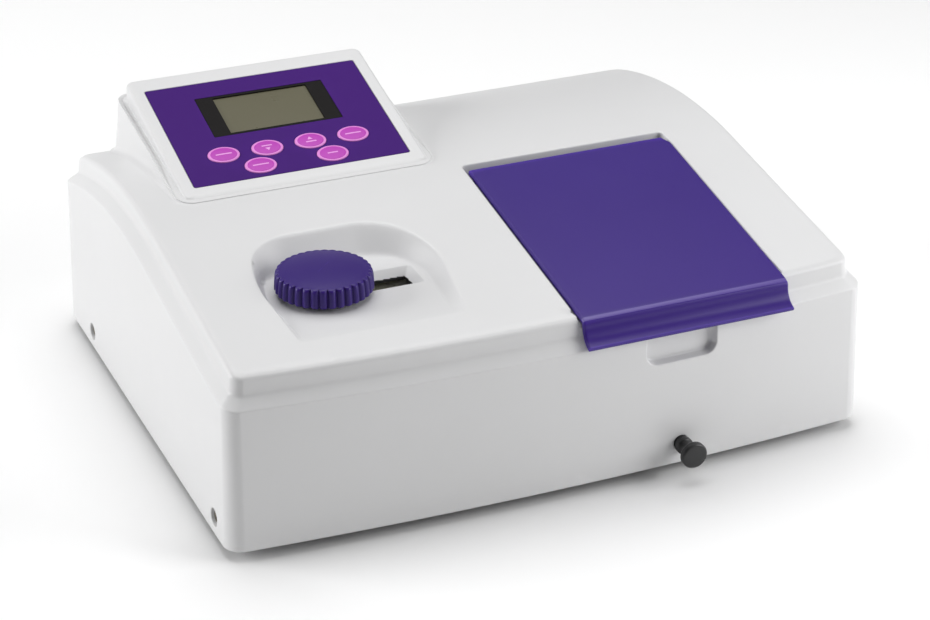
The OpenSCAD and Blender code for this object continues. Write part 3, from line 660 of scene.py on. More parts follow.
def cover_top():
    """The cover's top: slope, hood, knob recess with its window well, and the lid's pocket."""
    ring = top_ring()
    border = [(x, y) for x, y, _ in ring]
    sheet = Sheet()
    sheet.line(border, [at(*p) for p in ring])

    # hood: rings outwards from its top edge, each carried down the wall into a concave foot
    hood = rounded([(HOOD_X0, HOOD_Y0, 12), (HOOD_X1, HOOD_Y0, 12),
                    (HOOD_X1, HOOD_Y1, 9), (HOOD_X0, HOOD_Y1, 9)], 5)
    edge_r, foot_r, lean = 4.0, 5.0, 8.0            # the wall falls 8 for 1 outwards
    bend = math.atan(lean)
    rows = [("edge", d) for d in (-4.0, -3.1, -2.2, -1.4, -0.7, -0.2, 0.0)]
    rows += [("wall", 0.33), ("wall", 0.66), ("wall", 1.0)]
    rows += [("foot", k / 6) for k in range(1, 7)]
    for kind, k in rows:
        flat, solid = [], []
        for (x, y), (nx, ny) in zip(hood, offset(hood, 1.0)):
            nx, ny = nx - x, ny - y
            level = max(hood_z(y), top_z(y) + 0.3)
            rise = max(level - top_z(y), 0.3)
            er = min(edge_r, rise * 0.45)
            fr = min(foot_r, rise * 0.9 + 0.6)
            turn = fr * math.tan(bend / 2)
            reach = max((rise - er) / lean, 0.02)
            d_wall = max(reach - turn * math.cos(bend), 0.015)
            d_end = reach + turn
            if kind == "edge":
                d = k * er / edge_r
                z = level - er + math.sqrt(er * er - d * d) if k > -edge_r else level
            elif kind == "wall":
                d = d_wall * k
                z = level - er - lean * d
            else:
                d = lerp(d_wall, d_end, k)
                z = top_z(y) + fr - math.sqrt(max(0.0, fr * fr - (d_end - d) ** 2))
            px = x + nx * d
            # behind, the foot stops just short of the rim
            py = min(y + ny * d, REAR_LIMIT + (0.05 * k if kind == "wall" else 0.06 + 0.3 * k))
            if kind == "foot" and k == 1:
                z = top_z(py) + (0.0 if y + ny * d < REAR_LIMIT - 0.9 else 0.05)
            flat.append((px, py))
            solid.append(at(px, py, z))
        sheet.line(flat, solid)
    sheet.keep_out(offset(hood, 11.0))
    console = box_loop(58, 210, 206, 324, 3, 9, 3)
    sheet.line(console, [at(x, y, hood_z(y)) for x, y in console])
    sheet.hole(console)

    # knob recess: matching outlines of its rim and floor, lofted with soft rim and foot
    rim = rounded([(174.5, 31, 5), (184.5, 108, 22), (160, 147.5, 20), (70, 147, 24),
                   (55.5, 104, 22), (62, 31, 5)], count=10, n_corner=10)
    floor = rounded([(165, 35, 4), (171, 104, 16), (151, 128, 14), (76, 127.5, 18),
                     (61.5, 104, 20), (65.5, 35, 4)], count=10, n_corner=10)
    profile = [(0.0, 0.0), (0.08, 0.02), (0.17, 0.08), (0.27, 0.18), (0.5, 0.47), (0.72, 0.74),
               (0.84, 0.885), (0.93, 0.965), (1.0, 1.0)]
    for along, up in profile:
        flat, solid = [], []
        for (fx, fy), (rx, ry) in zip(floor, rim):
            x, y = lerp(fx, rx, along), lerp(fy, ry, along)
            ceiling = top_z(ry)
            z = min(lerp(PAN_Z, ceiling, up), top_z(y) + 0.2)
            if top_z(y) <= PAN_Z:
                z = top_z(y)
            flat.append((x, y))
            solid.append(at(x, y, z))
        sheet.line(flat, solid)
    blend = offset(rim, 1.6)
    sheet.line(blend, [at(x, y, top_z(y)) for x, y in blend])
    sheet.keep_out(offset(rim, 3.0))
    pan = offset(floor, -3.0)

    # window well in the recess floor
    def well_loop(grow, corner):
        """From the slot's own edge (0) to the bevel's outer edge (1)."""
        x0, x1 = lerp(130.0, 125.0, grow), lerp(160.0, 166.0, grow)
        y0, y1 = lerp(85.5, 80.6, grow), lerp(102.5, 108.2, grow)
        return box_loop(x0, y0, x1, y1, corner, 5, 4)

    well = [(well_loop(1.0, 2.0), 0.0), (well_loop(0.85, 1.8), 0.35), (well_loop(0.08, 1.2), 4.6),
            (well_loop(0.0, 1.0), 5.2), (well_loop(-0.02, 1.0), 7.0)]
    for loop, deep in well:
        sheet.line(loop, [at(x, y, PAN_Z - deep) for x, y in loop])
    sheet.hole(well[-1][0])
    well_out = offset(well[0][0], 1.0)
    for i in range(22):
        for j in range(22):
            x, y = 58 + i * 6, 36 + j * 5
            if inside(pan, x, y) and not inside(well_out, x, y):
                sheet.add((x, y), at(x, y, PAN_Z))

    # lid pocket: matching lines round its edge, running out through the front
    front_y = {round(x, 3): y for x, y, _ in ring if y < 30}
    for s, deep in POCKET_STEPS:
        x0 = round(POCKET_X0 + s, 3)
        x1 = round(POCKET_X1 - s, 3)
        y_end = POCKET_Y1 - s
        left = [(x0, lerp(front_y[x0], y_end - 3, k / 24)) for k in range(1, 25)]
        bend_l = arc(x0 + 3, y_end - 3, 3, 180, 90, 4)[1:]
        right_x = pocket_right(y_end) - s
        back = [(lerp(x0 + 3, right_x - 3, k / 24), y_end) for k in range(1, 24)]
        bend_r = arc(right_x - 3, y_end - 3, 3, 90, 0, 4)
        right = [(pocket_right(y) - s, y) for y in
                 [lerp(y_end - 3, front_y[x1], k / 24) for k in range(1, 24)]]
        path = left + bend_l + back + bend_r + right
        sheet.line(path, [at(x, y, pocket_z(x, y) if s > 0.3 else top_z(y) - deep)
                          for x, y in path], closed=False)
    # the trough's floor line, straight below the pocket's edge
    s, y0 = 0.7, TROUGH_Y + 1.0
    y_end = POCKET_Y1 - s
    right_x = pocket_right(y_end) - s
    path = [(POCKET_X0 + s, lerp(y0, y_end - 3, k / 6)) for k in range(7)]
    path += arc(POCKET_X0 + s + 3, y_end - 3, 3, 180, 90, 4)[1:]
    path += [(lerp(POCKET_X0 + s + 3, right_x - 3, k / 24), y_end) for k in range(1, 24)]
    path += arc(right_x - 3, y_end - 3, 3, 90, 0, 4)
    path += [(pocket_right(y) - s, y) for y in [lerp(y_end - 3, y0, k / 6) for k in range(1, 7)]]
    sheet.line(path, [at(x, y, TROUGH_Z) for x, y in path], closed=False)
    for y in (TROUGH_Y - 1.2, TROUGH_Y - 0.5, TROUGH_Y - 0.1, TROUGH_Y + 0.1, TROUGH_Y + 1.0):
        drop = {TROUGH_Y - 0.5: 0.15, TROUGH_Y - 0.1: 0.6}.get(y, 0.0)
        row = [(lerp(POCKET_X0 + 0.7, pocket_right(y) - 0.7, k / 24), y) for k in range(25)]
        sheet.line(row, [at(x, v, pocket_z(x, v) - drop if v < TROUGH_Y else TROUGH_Z)
                         for x, v in row], closed=False)
    for d, deep in ((0.9, 0.0), (0.3, 0.2), (0.0, 0.8), (-0.08, 4.2)):
        hole = box_loop(OPENING[0] - d, OPENING[1] - d, OPENING[2] + d, OPENING[3] + d,
                        3 + d, 8, 4)
        sheet.line(hole, [at(x, y, top_z(y) - SHELF - deep) for x, y in hole])
    sheet.hole(hole)
    sheet.keep_out([(POCKET_X0 - 2.2, -20), (POCKET_X0 + 1.6, -20), (POCKET_X0 + 1.6, 188),
                    (POCKET_X1 - 1.6, 188), (POCKET_X1 - 1.6, -20), (POCKET_X1 + 6.4, -20),
                    (POCKET_X1 + 6.4, 193.5), (POCKET_X0 - 2.2, 193.5)])
    sheet.keep_out([(230, 165.6), (396, 165.6), (396, 171), (230, 171)])
    sheet.keep_out([(OPENING[0] - 2.5, OPENING[1] - 2.5), (OPENING[2] + 2.5, OPENING[1] - 2.5),
                    (OPENING[2] + 2.5, OPENING[3] + 2.5), (OPENING[0] - 2.5, OPENING[3] + 2.5)])

    inner = [plan_point(c, RIM[-1][0] + 100 * DRAFT + 2.0) for c in COLUMNS]
    sheet.fill([18 + 6.03 * i for i in range(70)], [6 + 5.01 * i for i in range(72)],
               lambda x, y: at(x, y, pocket_z(x, y) if pocket_depth(x, y) > 0 else top_z(y)),
               inner)
    return sheet.build(border)


def wall_feature(sheet, loops, put):
    """Matching loops drawn on a wall: (points, push inwards)."""
    for loop, push in loops:
        sheet.line(loop, [put(u, v, push) for u, v in loop])


def circle(cu, cv, r, n=28):
    return [(cu + r * math.cos(2 * math.pi * i / n), cv + r * math.sin(2 * math.pi * i / n))
            for i in range(n)]


def cover_wall():
    """The drafted walls, unrolled column by column, with their holes and the finger notch."""
    tops = [column_point(c, *RIM[0])[2] for c in COLUMNS]
    faces = []
    runs = []                                   # one sheet for each straight side
    kinds = [c[0] for c in COLUMNS]
    start = 0
    for i in range(1, len(COLUMNS) + 1):
        if i == len(COLUMNS) or kinds[i] != kinds[start]:
            runs.append((kinds[start], start, i - 1))
            start = i
    n = len(COLUMNS)
    for kind, a, b in runs:
        if kind == "corner":
            a, b = a - 1, b + 1
            for i in range(a, b):
                c0, c1 = COLUMNS[i % n], COLUMNS[(i + 1) % n]
                for k in range(8):
                    faces.append([
                        at(*column_point(c, 0, WALL_TOP, tops[COLUMNS.index(c)] * step / 8))
                        for c, step in ((c0, k), (c1, k), (c1, k + 1), (c0, k + 1))])
            continue
        cols = COLUMNS[a:b + 1]
        vals = [c[1] for c in cols]
        sign = 1 if vals[-1] > vals[0] else -1

        def put(u, v, push, kind=kind, sign=sign):
            return at(*column_point((kind, u * sign), 0, WALL_TOP, v, push))

        sheet = Sheet()
        border = [(v * sign, 0.0) for v in vals]
        border += [(vals[-1] * sign, tops[b] * k / 8) for k in range(1, 8)]
        border += [(v * sign, t) for v, t in zip(reversed(vals), reversed(tops[a:b + 1]))]
        border += [(vals[0] * sign, tops[a] * k / 8) for k in range(7, 0, -1)]

        def push_at(u, v):
            if kind != "front":
                return 0.0
            return stepped(NOTCH_STEPS, notch_depth(u, v))

        sheet.line(border, [put(u, v, push_at(u, v)) for u, v in border])
        if kind in ("left", "right"):
            for y in SCREW_Y:
                cu = y * sign
                rings = [(circle(cu, SCREW_Z, 7.0), 0.0), (circle(cu, SCREW_Z, 6.35), 0.15),
                         (circle(cu, SCREW_Z, 6.0), 0.7), (circle(cu, SCREW_Z, 5.95), 4.2),
                         (circle(cu, SCREW_Z, 4.5), 4.4)]
                wall_feature(sheet, rings, put)
                sheet.add((cu, SCREW_Z), put(cu, SCREW_Z, 4.4))
                sheet.keep_out(circle(cu, SCREW_Z, 8.5))
        if kind == "front":
            wall_feature(sheet, [(circle(ROD[0], ROD[1], 6.0), 0.0), (circle(*ROD, 5.4), 0.15),
                                 (circle(*ROD, 5.02), 0.6), (circle(*ROD, 5.0), SKIN)], put)
            sheet.hole(circle(*ROD, 5.0))
            sheet.keep_out(circle(*ROD, 7.5))
            x0, x1, z0, r = NOTCH
            for s, push in NOTCH_STEPS:
                l, rr, low = x0 + s, x1 - s, z0 + s
                rad = max(r - s, 3.0)
                tz = dict(zip(vals, tops[a:b + 1]))
                left = [(l, lerp(tz[round(l, 3)], low + rad, k / 3)) for k in range(1, 4)]
                path = left + arc(l + rad, low + rad, rad, 180, 270, 8)[1:]
                path += [(lerp(l + rad, rr - rad, k / 8), low) for k in range(1, 8)]
                path += arc(rr - rad, low + rad, rad, 270, 360, 8)
                path += [(rr, lerp(low + rad, tz[round(rr, 3)], k / 3)) for k in (1, 2)]
                sheet.line(path, [put(u, v, push) for u, v in path], closed=False)
            sheet.keep_out([(x0 - 3, z0 - 3), (x1 + 3, z0 - 3), (x1 + 3, 120), (x1 - 3.4, 120),
                            (x1 - 3.4, z0 + 3.4), (x0 + 3.4, z0 + 3.4), (x0 + 3.4, 120),
                            (x0 - 3, 120)])
        if kind == "back":
            frames = [(-424, 14, -236, 84, 2.5)]
            frames += [(-66 - 14 * i, 20, -60 - 14 * i, 70, 2.9) for i in range(10)]
            for x0, z0, x1, z1, r in frames:
                rows = []
                for d, push in ((0.9, 0.0), (0.3, 0.15), (0.0, 0.7), (-0.08, SKIN)):
                    rows.append((box_loop(x0 - d, z0 - d, x1 + d, z1 + d, r + d, 7, 5), push))
                wall_feature(sheet, rows, put)
                sheet.hole(rows[-1][0])
                sheet.keep_out(offset(rows[0][0], 1.2))
        lo, hi = min(vals[0] * sign, vals[-1] * sign), max(vals[0] * sign, vals[-1] * sign)
        steps = int((hi - lo) / 7)
        grid_u = [lerp(lo, hi, (i + 0.5) / steps) for i in range(steps)]
        low_top = [(u, v - 3.0 if v > 20 else v + 3.0) for u, v in border]
        sheet.fill(grid_u, [6 + 8.1 * k for k in range(18)],
                   lambda u, v: put(u, v, push_at(u, v)), low_top)
        faces += sheet.build(border)
    return faces


def notch_depth(u, v):
    """Signed distance inside the finger notch's outline on the front wall."""
    x0, x1, z0, r = NOTCH
    s = min(u - x0, x1 - u)
    low = v - z0
    if s < r and low < r:
        return r - math.hypot(r - s, r - low)
    return min(s, low)


def cover():
    """The whole moulding: top, rim, walls and turned-in lower edge."""
    first = []
    for c in COLUMNS:
        z = column_point(c, *RIM[0])[2]
        push = stepped(NOTCH_STEPS, notch_depth(c[1], z)) if c[0] == "front" else 0.0
        first.append(at(*column_point(c, 0, WALL_TOP, z, push)))
    rows = [first]
    rows += [[at(*column_point(c, *step)) for c in COLUMNS] for step in RIM[1:-1]]
    rows.append([at(*p) for p in top_ring()])
    faces = cover_top() + cover_wall() + loft(rows)
    # the lower rim turns in and up, so that the moulding shows its thickness
    inner = [[at(*column_point(c, i, WALL_TOP, z)) for c in COLUMNS]
             for i, z in ((0.0, 0.0), (0.5, 0.0), (SKIN, 0.0), (SKIN + 0.1, 8.0))]
    faces += [f[::-1] for f in loft(inner[1:]) + bridge(inner[0], inner[1])]
    obj = mesh_object("cover_shell", faces, "case", ["top_cover"],
                      [MATS["cover"], MATS["black_plastic"]])
    # the dial slot's deep walls, more than 5 below the recess floor, take the black plastic
    low, high = at(129, 84.5, 100), at(161, 103.5, PAN_Z - 5.0)
    for face in obj.data.polygons:
        if all(low[k] < face.center[k] < high[k] for k in range(3)):
            face.material_index = 1
    return weighted(obj)


# ---------------------------------------------------------------- console
def panel_at(x, y, z):
    return at(*on_panel(x, y, z))


def hood_surface(x, y):
    """The hood's top with its rounded side edges."""
    r = min(4.0, max(hood_z(y) - top_z(y), 0.3) * 0.45)
    e = min(r, max(0.0, r - min(x - HOOD_X0, HOOD_X1 - x, y - HOOD_Y0)))
    return max(hood_z(y) - r + math.sqrt(r * r - e * e), top_z(y) if y < HOOD_Y0 + 0.5 else 0.0)


def bezel():
    """The display's frame: soft outer edge, drafted sides, chamfered inner edge."""
    w = 87.5
    y0, y1 = -143.0, 0.5
    panel = (77.7, -127.8, -14.6)
    outer = rounded([(-w, y0, 9), (w, y0, 9), (w, y1, 6), (-w, y1, 6)], 6, 8)
    inner = box_loop(-panel[0], panel[1], panel[0], panel[2], 1.6, 6, 8)
    rows = [[] for _ in range(8)]
    for (x, y), (ox, oy) in zip(outer, offset(outer, 1.0)):
        p = Vector(on_panel(x, y, -2.6))
        nx, ny = ox - x, oy - y
        rise = p.z - hood_surface(p.x, p.y)
        if rise < 0.6:                              # sunk into the cover's top
            for k, row in enumerate(rows):
                row.append(at(p.x, p.y, p.z - 0.05 * (8 - k)))
            continue
        r = min(lerp(0.8, 3.0, ny * ny), rise * 0.6)
        lean = (rise - r) * 0.12 * ny * ny
        for k, row in enumerate(rows):
            if k == 0:
                d, z = lean + r + 0.4, -0.9
            elif k < 7:
                a = math.radians(15 * (k - 1))
                d, z = lean + r * (1 - math.sin(a)), 0.06 + r * (1 - math.cos(a))
            else:
                d, z = lean * 0.5, lerp(r, rise, 0.5)
            qx, qy = p.x + nx * d, p.y + ny * d
            row.append(at(qx, qy, hood_surface(qx, qy) * (1 - z / rise * 0.999) +
                          p.z * z / rise * 0.999 if z > 0 else hood_surface(qx, qy) + z))
    r = 2.6

    def fillet(share):
        """The outer edge moved in by a share of its fillet, which is wider along the front."""
        ring = []
        for (x, y), (ox, oy) in zip(outer, offset(outer, 1.0)):
            front = min(1.0, max(0.0, (y - oy - 0.2) / 0.7))
            front = front * front * (3 - 2 * front)
            wide = lerp(r, 7.5, front)
            depth = lerp(r - r * math.sqrt(1 - (1 - share) ** 2), r * (1 - share) ** 1.7, front)
            ring.append((x - (ox - x) * wide * share, y - (oy - y) * wide * share, -depth))
        return ring

    for a in (0, 10, 20, 30, 40, 50, 60, 70, 80, 90):
        rows.append([panel_at(*q) for q in fillet(1 - math.cos(math.radians(a)))])
    faces = loft(rows)
    # flat face between the outer fillet and the panel's edge
    flat = [(x, y) for x, y, _ in fillet(1.0)]
    sheet = Sheet()
    sheet.line(flat, [panel_at(x, y, 0) for x, y in flat])
    rim = offset(inner, 0.5)
    sheet.line(rim, [panel_at(x, y, 0) for x, y in rim])
    sheet.hole(rim)
    faces += sheet.build(flat)
    edge = [[panel_at(x, y, z) for x, y in offset(inner, d)]
            for d, z in ((0.5, 0.0), (0.18, -0.1), (0.0, -0.45), (0.0, -1.6))]
    faces += [f[::-1] for f in loft(edge)]
    faces = orient_out(faces, at(132, 262, 120))
    obj = mesh_object("bezel_frame", faces, "case", ["display_bezel"], MATS["cover"])
    return weighted(obj)


def orient_out(faces, centre):
    """Turns each face away from a point inside the piece."""
    out = []
    for f in faces:
        points, index = f if isinstance(f, tuple) else (f, None)
        n = (points[1] - points[0]).cross(points[2] - points[0])
        if n.length < 1e-14 and len(points) > 3:
            n = (points[2] - points[0]).cross(points[3] - points[0])
        mid = sum(points, Vector()) / len(points)
        if n.dot(mid - centre) < 0:
            points = points[::-1]
        out.append(points if index is None else (points, index))
    return out


KEYS = [(-47.3, -98.2), (-16.0, -98.2), (15.3, -98.2), (46.6, -98.2), (-26.7, -115.6),
        (25.3, -115.6)]
KEY_W, KEY_H = 22.4, 16.8
WINDOW_Y, WINDOW_W, WINDOW_H = -54.8, 93.7, 45.9


def ellipse(cx, cy, w, h, n=48):
    return [(cx + w / 2 * math.cos(2 * math.pi * i / n), cy + h / 2 * math.sin(2 * math.pi * i / n))
            for i in range(n)]


def overlay():
    """The printed film, with holes for the keys and the window and a turned-down edge."""
    w, y0, y1 = 77.5, -127.6, -14.7
    outer = box_loop(-w, y0, w, y1, 1.4, 6, 5)
    sheet = Sheet()
    faces = []
    flat = offset(outer, -0.35)
    sheet.line(flat, [panel_at(x, y, 0.0) for x, y in flat])
    for x, y in KEYS:
        hole = ellipse(x, y, KEY_W + 0.6, KEY_H + 0.6)
        sheet.line(hole, [panel_at(a, b, 0.0) for a, b in hole])
        sheet.hole(hole)
        sheet.keep_out(ellipse(x, y, KEY_W + 4, KEY_H + 4))
        faces += bridge([panel_at(a, b, 0.0) for a, b in hole],
                        [panel_at(a, b, -0.5) for a, b in hole])
    hw, hh = WINDOW_W / 2 + 0.15, WINDOW_H / 2 + 0.15
    window = box_loop(-hw, WINDOW_Y - hh, hw, WINDOW_Y + hh, 0.8, 8, 4)
    sheet.line(window, [panel_at(x, y, 0.0) for x, y in window])
    sheet.hole(window)
    faces += bridge([panel_at(x, y, 0.0) for x, y in window],
                    [panel_at(x, y, -0.5) for x, y in window])
    sheet.keep_out(offset(window, 2.0))
    sheet.fill([-74 + 6 * i for i in range(26)], [y0 + 4 + 6 * i for i in range(19)],
               lambda x, y: panel_at(x, y, 0.0), flat)
    faces += sheet.build(flat)
    faces += loft([[panel_at(x, y, z) for x, y in offset(outer, d)]
                   for d, z in ((0.0, -0.5), (0.0, -0.25), (-0.12, -0.07), (-0.35, 0.0))])
    return weighted(mesh_object("panel_film", faces, "case", ["keypad_overlay"],
                                MATS["overlay"], sharp=30))


def window():
    """The display window: a dark printed border round a clear middle, over the display glass."""
    hw, hh = WINDOW_W / 2, WINDOW_H / 2
    outer = box_loop(-hw, WINDOW_Y - hh, hw, WINDOW_Y + hh, 0.8, 6, 4, 8)
    lw, lh = 34.4, 20.6
    middle = box_loop(-lw, WINDOW_Y - lh, lw, WINDOW_Y + lh, 0.5, 6, 4, 8)
    rows = [[panel_at(x, y, z) for x, y in loop] for loop, z in (
        (outer, -0.9), (outer, -0.3), (offset(outer, -0.25), -0.12), (middle, -0.12),
        (offset(middle, -0.05), -0.35), (offset(middle, -0.1), -2.45))]
    return weighted(mesh_object("window_border", loft(rows), "case",
                                ["display_window"], MATS["mask"], sharp=30))


def display():
    """The display glass itself, faintly dished at its edges."""
    lw, lh = 34.6, 20.9
    rows = []
    for d, z in ((0.0, -2.7), (0.0, -1.25), (0.12, -1.08), (0.35, -1.0)):
        rows.append([panel_at(x, y, z) for x, y in box_loop(
            -lw + d, WINDOW_Y - lh + d, lw - d, WINDOW_Y + lh - d, 0.6, 6, 4, 8)])
    return weighted(mesh_object("display_glass", loft(rows) + cap(rows[-1]), "case",
                                ["lcd_glass"], MATS["lcd"], sharp=30))


def key_marks(index, x, y, height):
    """Printed marks: a short bar on each key and a pointer on the second and third."""
    def lift(px, py):
        q = ((px - x) / (KEY_W / 2)) ** 2 + ((py - y) / (KEY_H / 2)) ** 2
        return panel_at(px, py, height(q) + 0.03)
    out = []
    w = 11.5 if index in (0, 3, 4) else 7.5
    raise_by = 1.6 if index == 1 else (-1.6 if index == 2 else 0.0)
    steps = 10
    for k in range(steps):
        a, b = x - w / 2 + w * k / steps, x - w / 2 + w * (k + 1) / steps
        low, high = y + raise_by - 0.6, y + raise_by + 0.6
        out.append(([lift(a, low), lift(b, low), lift(b, high), lift(a, high)], 2))
    if index in (1, 2):
        tip = -1 if index == 1 else 1
        cy = y - raise_by * 1.1
        tri = [(x - 1.9, cy - tip * 1.0), (x + 1.9, cy - tip * 1.0), (x, cy + tip * 2.0)]
        out.append(([lift(*p) for p in (tri if tip > 0 else tri[::-1])], 2))
    return out


def keys():
    for i, (x, y) in enumerate(KEYS):
        def height(q):
            return 0.60 + 0.42 * (1 - min(1.0, q)) ** 0.8

        rows = []
        for scale, z in ((1.0, -0.6), (1.0, 0.30), (0.985, 0.48), (0.95, 0.58), (0.90, 0.60),
                         (0.83, 0.56)):
            rows.append([panel_at(a, b, z) for a, b in ellipse(x, y, KEY_W * scale,
                                                              KEY_H * scale)])
        # the keys' sides and rims take key_rim: a painted highlight
        faces = loft(rows, index=0)
        dome = [rows[-1]]
        for scale in (0.81, 0.78, 0.72, 0.64, 0.52, 0.4, 0.25, 0.1):
            dome.append([panel_at(a, b, height(scale ** 2)) for a, b in
                         ellipse(x, y, KEY_W * scale, KEY_H * scale)])
        faces += loft(dome, index=1)
        faces += [(f, 1) for f in cap(dome[-1])]
        faces += key_marks(i, x, y, height)
        node = "key_%d" % (i + 1)
        mesh_object("keypad_" + node, faces, "key%d" % (i + 1), [node],
                    [MATS["key_rim"], MATS["keys"], MATS["key_mark"]], merge=2e-6)


# ---------------------------------------------------------------- knob, lid, changer knob
def knob():
    """The wavelength knob: fluted skirt, rolled upper edge, shallow dome with a ring line."""
    def place(x, y, h):
        return at(KNOB[0] + x, KNOB[1] + y, KNOB_Z + h)

    side = [(KNOB_R - 1.2, 1.6, 0.8), (KNOB_R - 0.5, 2.3, 1.0), (KNOB_R - 0.5, 4.5, 1.0),
            (KNOB_R - 0.8, 9.0, 1.0), (KNOB_R - 1.1, 11.4, 1.0), (KNOB_R - 1.4, 12.7, 1.0),
            (KNOB_R - 1.8, 13.6, 0.9), (KNOB_R - 2.6, 14.1, 0.6), (KNOB_R - 3.6, 14.3, 0.15),
            (KNOB_R - 4.4, 14.3, 0.0), (KNOB_R - 5.2, 14.35, 0.0), (KNOB_R - 6.4, 14.6, 0.0)]
    crown = KNOB_R - 6.4
    side += [(crown * k, 14.6 + 2.0 * (1 - k * k), 0.0) for k in
             (0.93, 0.84, 0.72, 0.58, 0.42, 0.25, 0.08)]
    amounts = [s[2] for s in side]

    def radius(r, k, a):
        wave = abs(math.sin(a * FLUTES / 2)) ** 0.6
        return r - amounts[k] * 2.3 * (1 - wave)

    rows = lathe([(r, h) for r, h, _ in side], place, FLUTES * 12, radius)
    inner = lathe([(KNOB_R - 6, 10.0), (KNOB_R - 4.0, 2.4), (KNOB_R - 3.4, 1.6)], place,
                  FLUTES * 12)
    faces = loft(inner + rows) + cap(rows[-1])
    return weighted(mesh_object("knob_cap", faces, "knob", ["wavelength_knob"],
                                MATS["knob"]))


def lid_right(y):
    x = LID_X1 + POCKET_FLARE * min(1.0, max(0.0, y / LID_BACK))
    return x - max(0.0, y - 173.5) * 0.46


def lid():
    """The sample lid: flat top, rolled front fold, flared lip and turned-down sides."""
    def plane(y):
        return TANGENT_Z + (y - TANGENT_Y) * math.tan(SLOPE) + 1.0

    fold_y = -1.5
    crest = plane(fold_y)
    upper = [LID_BACK, LID_BACK - 4, LID_BACK - 7.5] + [
        lerp(LID_BACK - 12, 6.0, k / 20) for k in range(21)]
    upper = [(y, plane(y)) for y in upper]
    fold = [(2.6, plane(2.6)), (0.9, plane(0.9) - 0.05), (-0.7, crest - 0.25),
            (-2.0, crest - 0.9), (-2.9, crest - 2.1), (-3.3, crest - 3.6)]
    sweep = arc(-15.3, crest - 3.6, 12.0, 0, -74, 12)[1:]
    outer = upper + fold + sweep
    inner = []
    for k, (y, z) in enumerate(outer):
        a, b = outer[max(k - 1, 0)], outer[min(k + 1, len(outer) - 1)]
        t = Vector((b[0] - a[0], b[1] - a[1])).normalized()
        inner.append((y - t.y * LID_T, z + t.x * LID_T))
    faces = []
    roll = 1.6                                      # radius of the rolled side edges

    def span(k):
        y = outer[k][0]
        return LID_X0, lid_right(max(y, 0.0))

    def skin(k, x, x0, x1):
        """A point of the upper skin, sunk towards the lower one near its sides."""
        d = min(x - x0, x1 - x)
        sink = roll - math.sqrt(max(0.0, roll ** 2 - (roll - min(d, roll)) ** 2))
        (y, z), (iy, iz) = outer[k], inner[k]
        n = Vector((iy - y, iz - z)).normalized()
        return at(x, y + n.x * sink, z + n.y * sink)

    cols = []
    offs = [0.0, 0.12, 0.45, 0.9, 1.6]
    for k in range(len(outer)):
        x0, x1 = span(k)
        mids = [lerp(x0 + roll, x1 - roll, j / 14) for j in range(1, 14)]
        xs = [x0 + o for o in offs] + mids + [x1 - o for o in reversed(offs)]
        cols.append([skin(k, x, x0, x1) for x in xs])
    first = len(upper) + 1
    faces += loft(cols[:first + 1], closed=False)
    # the fold's strip takes lid_fold: a painted highlight along the fold
    faces += loft(cols[first:first + 3], closed=False, index=1)
    faces += loft(cols[first + 2:], closed=False)
    under = []
    for k, (y, z) in enumerate(inner):
        x0, x1 = span(k)
        under.append([at(lerp(x0, x1, j / 10), y, z) for j in range(11)])
    faces += [f[::-1] for f in loft(under, closed=False)]
    for j in (0, -1):
        strip = bridge([c[j] for c in cols], [c[j] for c in under], closed=False)
        faces += strip if j == 0 else [f[::-1] for f in strip]
    for end in (0, -1):
        a, b = cols[end], under[end]
        width = (a[-1] - a[0]).length
        edge = [b[0].lerp(b[-1], (p - a[0]).length / width) for p in a]
        edge[0], edge[-1] = b[0], b[-1]
        strip = bridge(a, edge, closed=False)
        faces += [f[::-1] for f in strip] if end == 0 else strip
    # lugs on the hinge line
    for x in (251, 365):
        prof = arc(177, 136, 5.0, 200, 520, 20)
        web = [(174, 138), (179, 138), (179, plane(179) - 2.5), (174, plane(174) - 2.5)]
        a, b = [[at(e, y, z) for y, z in prof] for e in (x, x + 11)]
        wa, wb = [[at(e, y, z) for y, z in web] for e in (x + 0.4, x + 10.6)]
        faces += bridge(a, b) + cap(a) + cap(b) + bridge(wa, wb) + [wa, wb]
    obj = mesh_object("lid_shell", faces, "lid", ["sample_lid"],
                      [MATS["lid"], MATS["lid_fold"]], sharp=60)
    bm = bmesh.new()
    bm.from_mesh(obj.data)
    bmesh.ops.recalc_face_normals(bm, faces=bm.faces)
    bm.to_mesh(obj.data)
    bm.free()
    return weighted(obj)


def changer_knob():
    """The pull rod's turned knob: rolled head, hollow waist and a small collar."""
    def place(x, y, h):
        return at(ROD[0] + x, -28 + h, ROD[1] + y)

    head = [(0.5, 0.0), (5.5, 0.05), (7.6, 0.25)] + \
        [(7.4 + 1.6 * math.cos(math.radians(a)), 1.8 + 1.6 * math.sin(math.radians(a)))
         for a in (-70, -45, -20, 0)]
    head += [(9.0, 3.4)] + [(8.0 + math.cos(math.radians(a)), 4.0 + math.sin(math.radians(a)))
                            for a in (0, 30, 60)]
    waist = [(7.4, 5.1), (6.3, 5.7), (5.3, 6.9), (4.6, 8.6), (4.35, 10.5), (4.3, 14.0)]
    collar = [(5.4, 14.3), (5.9, 14.8), (5.9, 17.8), (5.5, 18.4), (3.1, 18.6)]
    rows = lathe(head + waist + collar, place, 56)
    faces = loft(rows) + cap(rows[0], True)
    obj = mesh_object("changer_grip", orient_rows(faces), "changer", ["rod_knob"],
                      MATS["black_plastic"])
    return weighted(obj)


def orient_rows(faces):
    """Turns every face consistently by way of a throwaway mesh."""
    bm = bmesh.new()
    for f in faces:
        bm.faces.new([bm.verts.new(p) for p in f])
    bmesh.ops.remove_doubles(bm, verts=bm.verts, dist=4e-6)
    bmesh.ops.recalc_face_normals(bm, faces=bm.faces)
    out = [[v.co.copy() for v in f.verts] for f in bm.faces]
    bm.free()
    return out


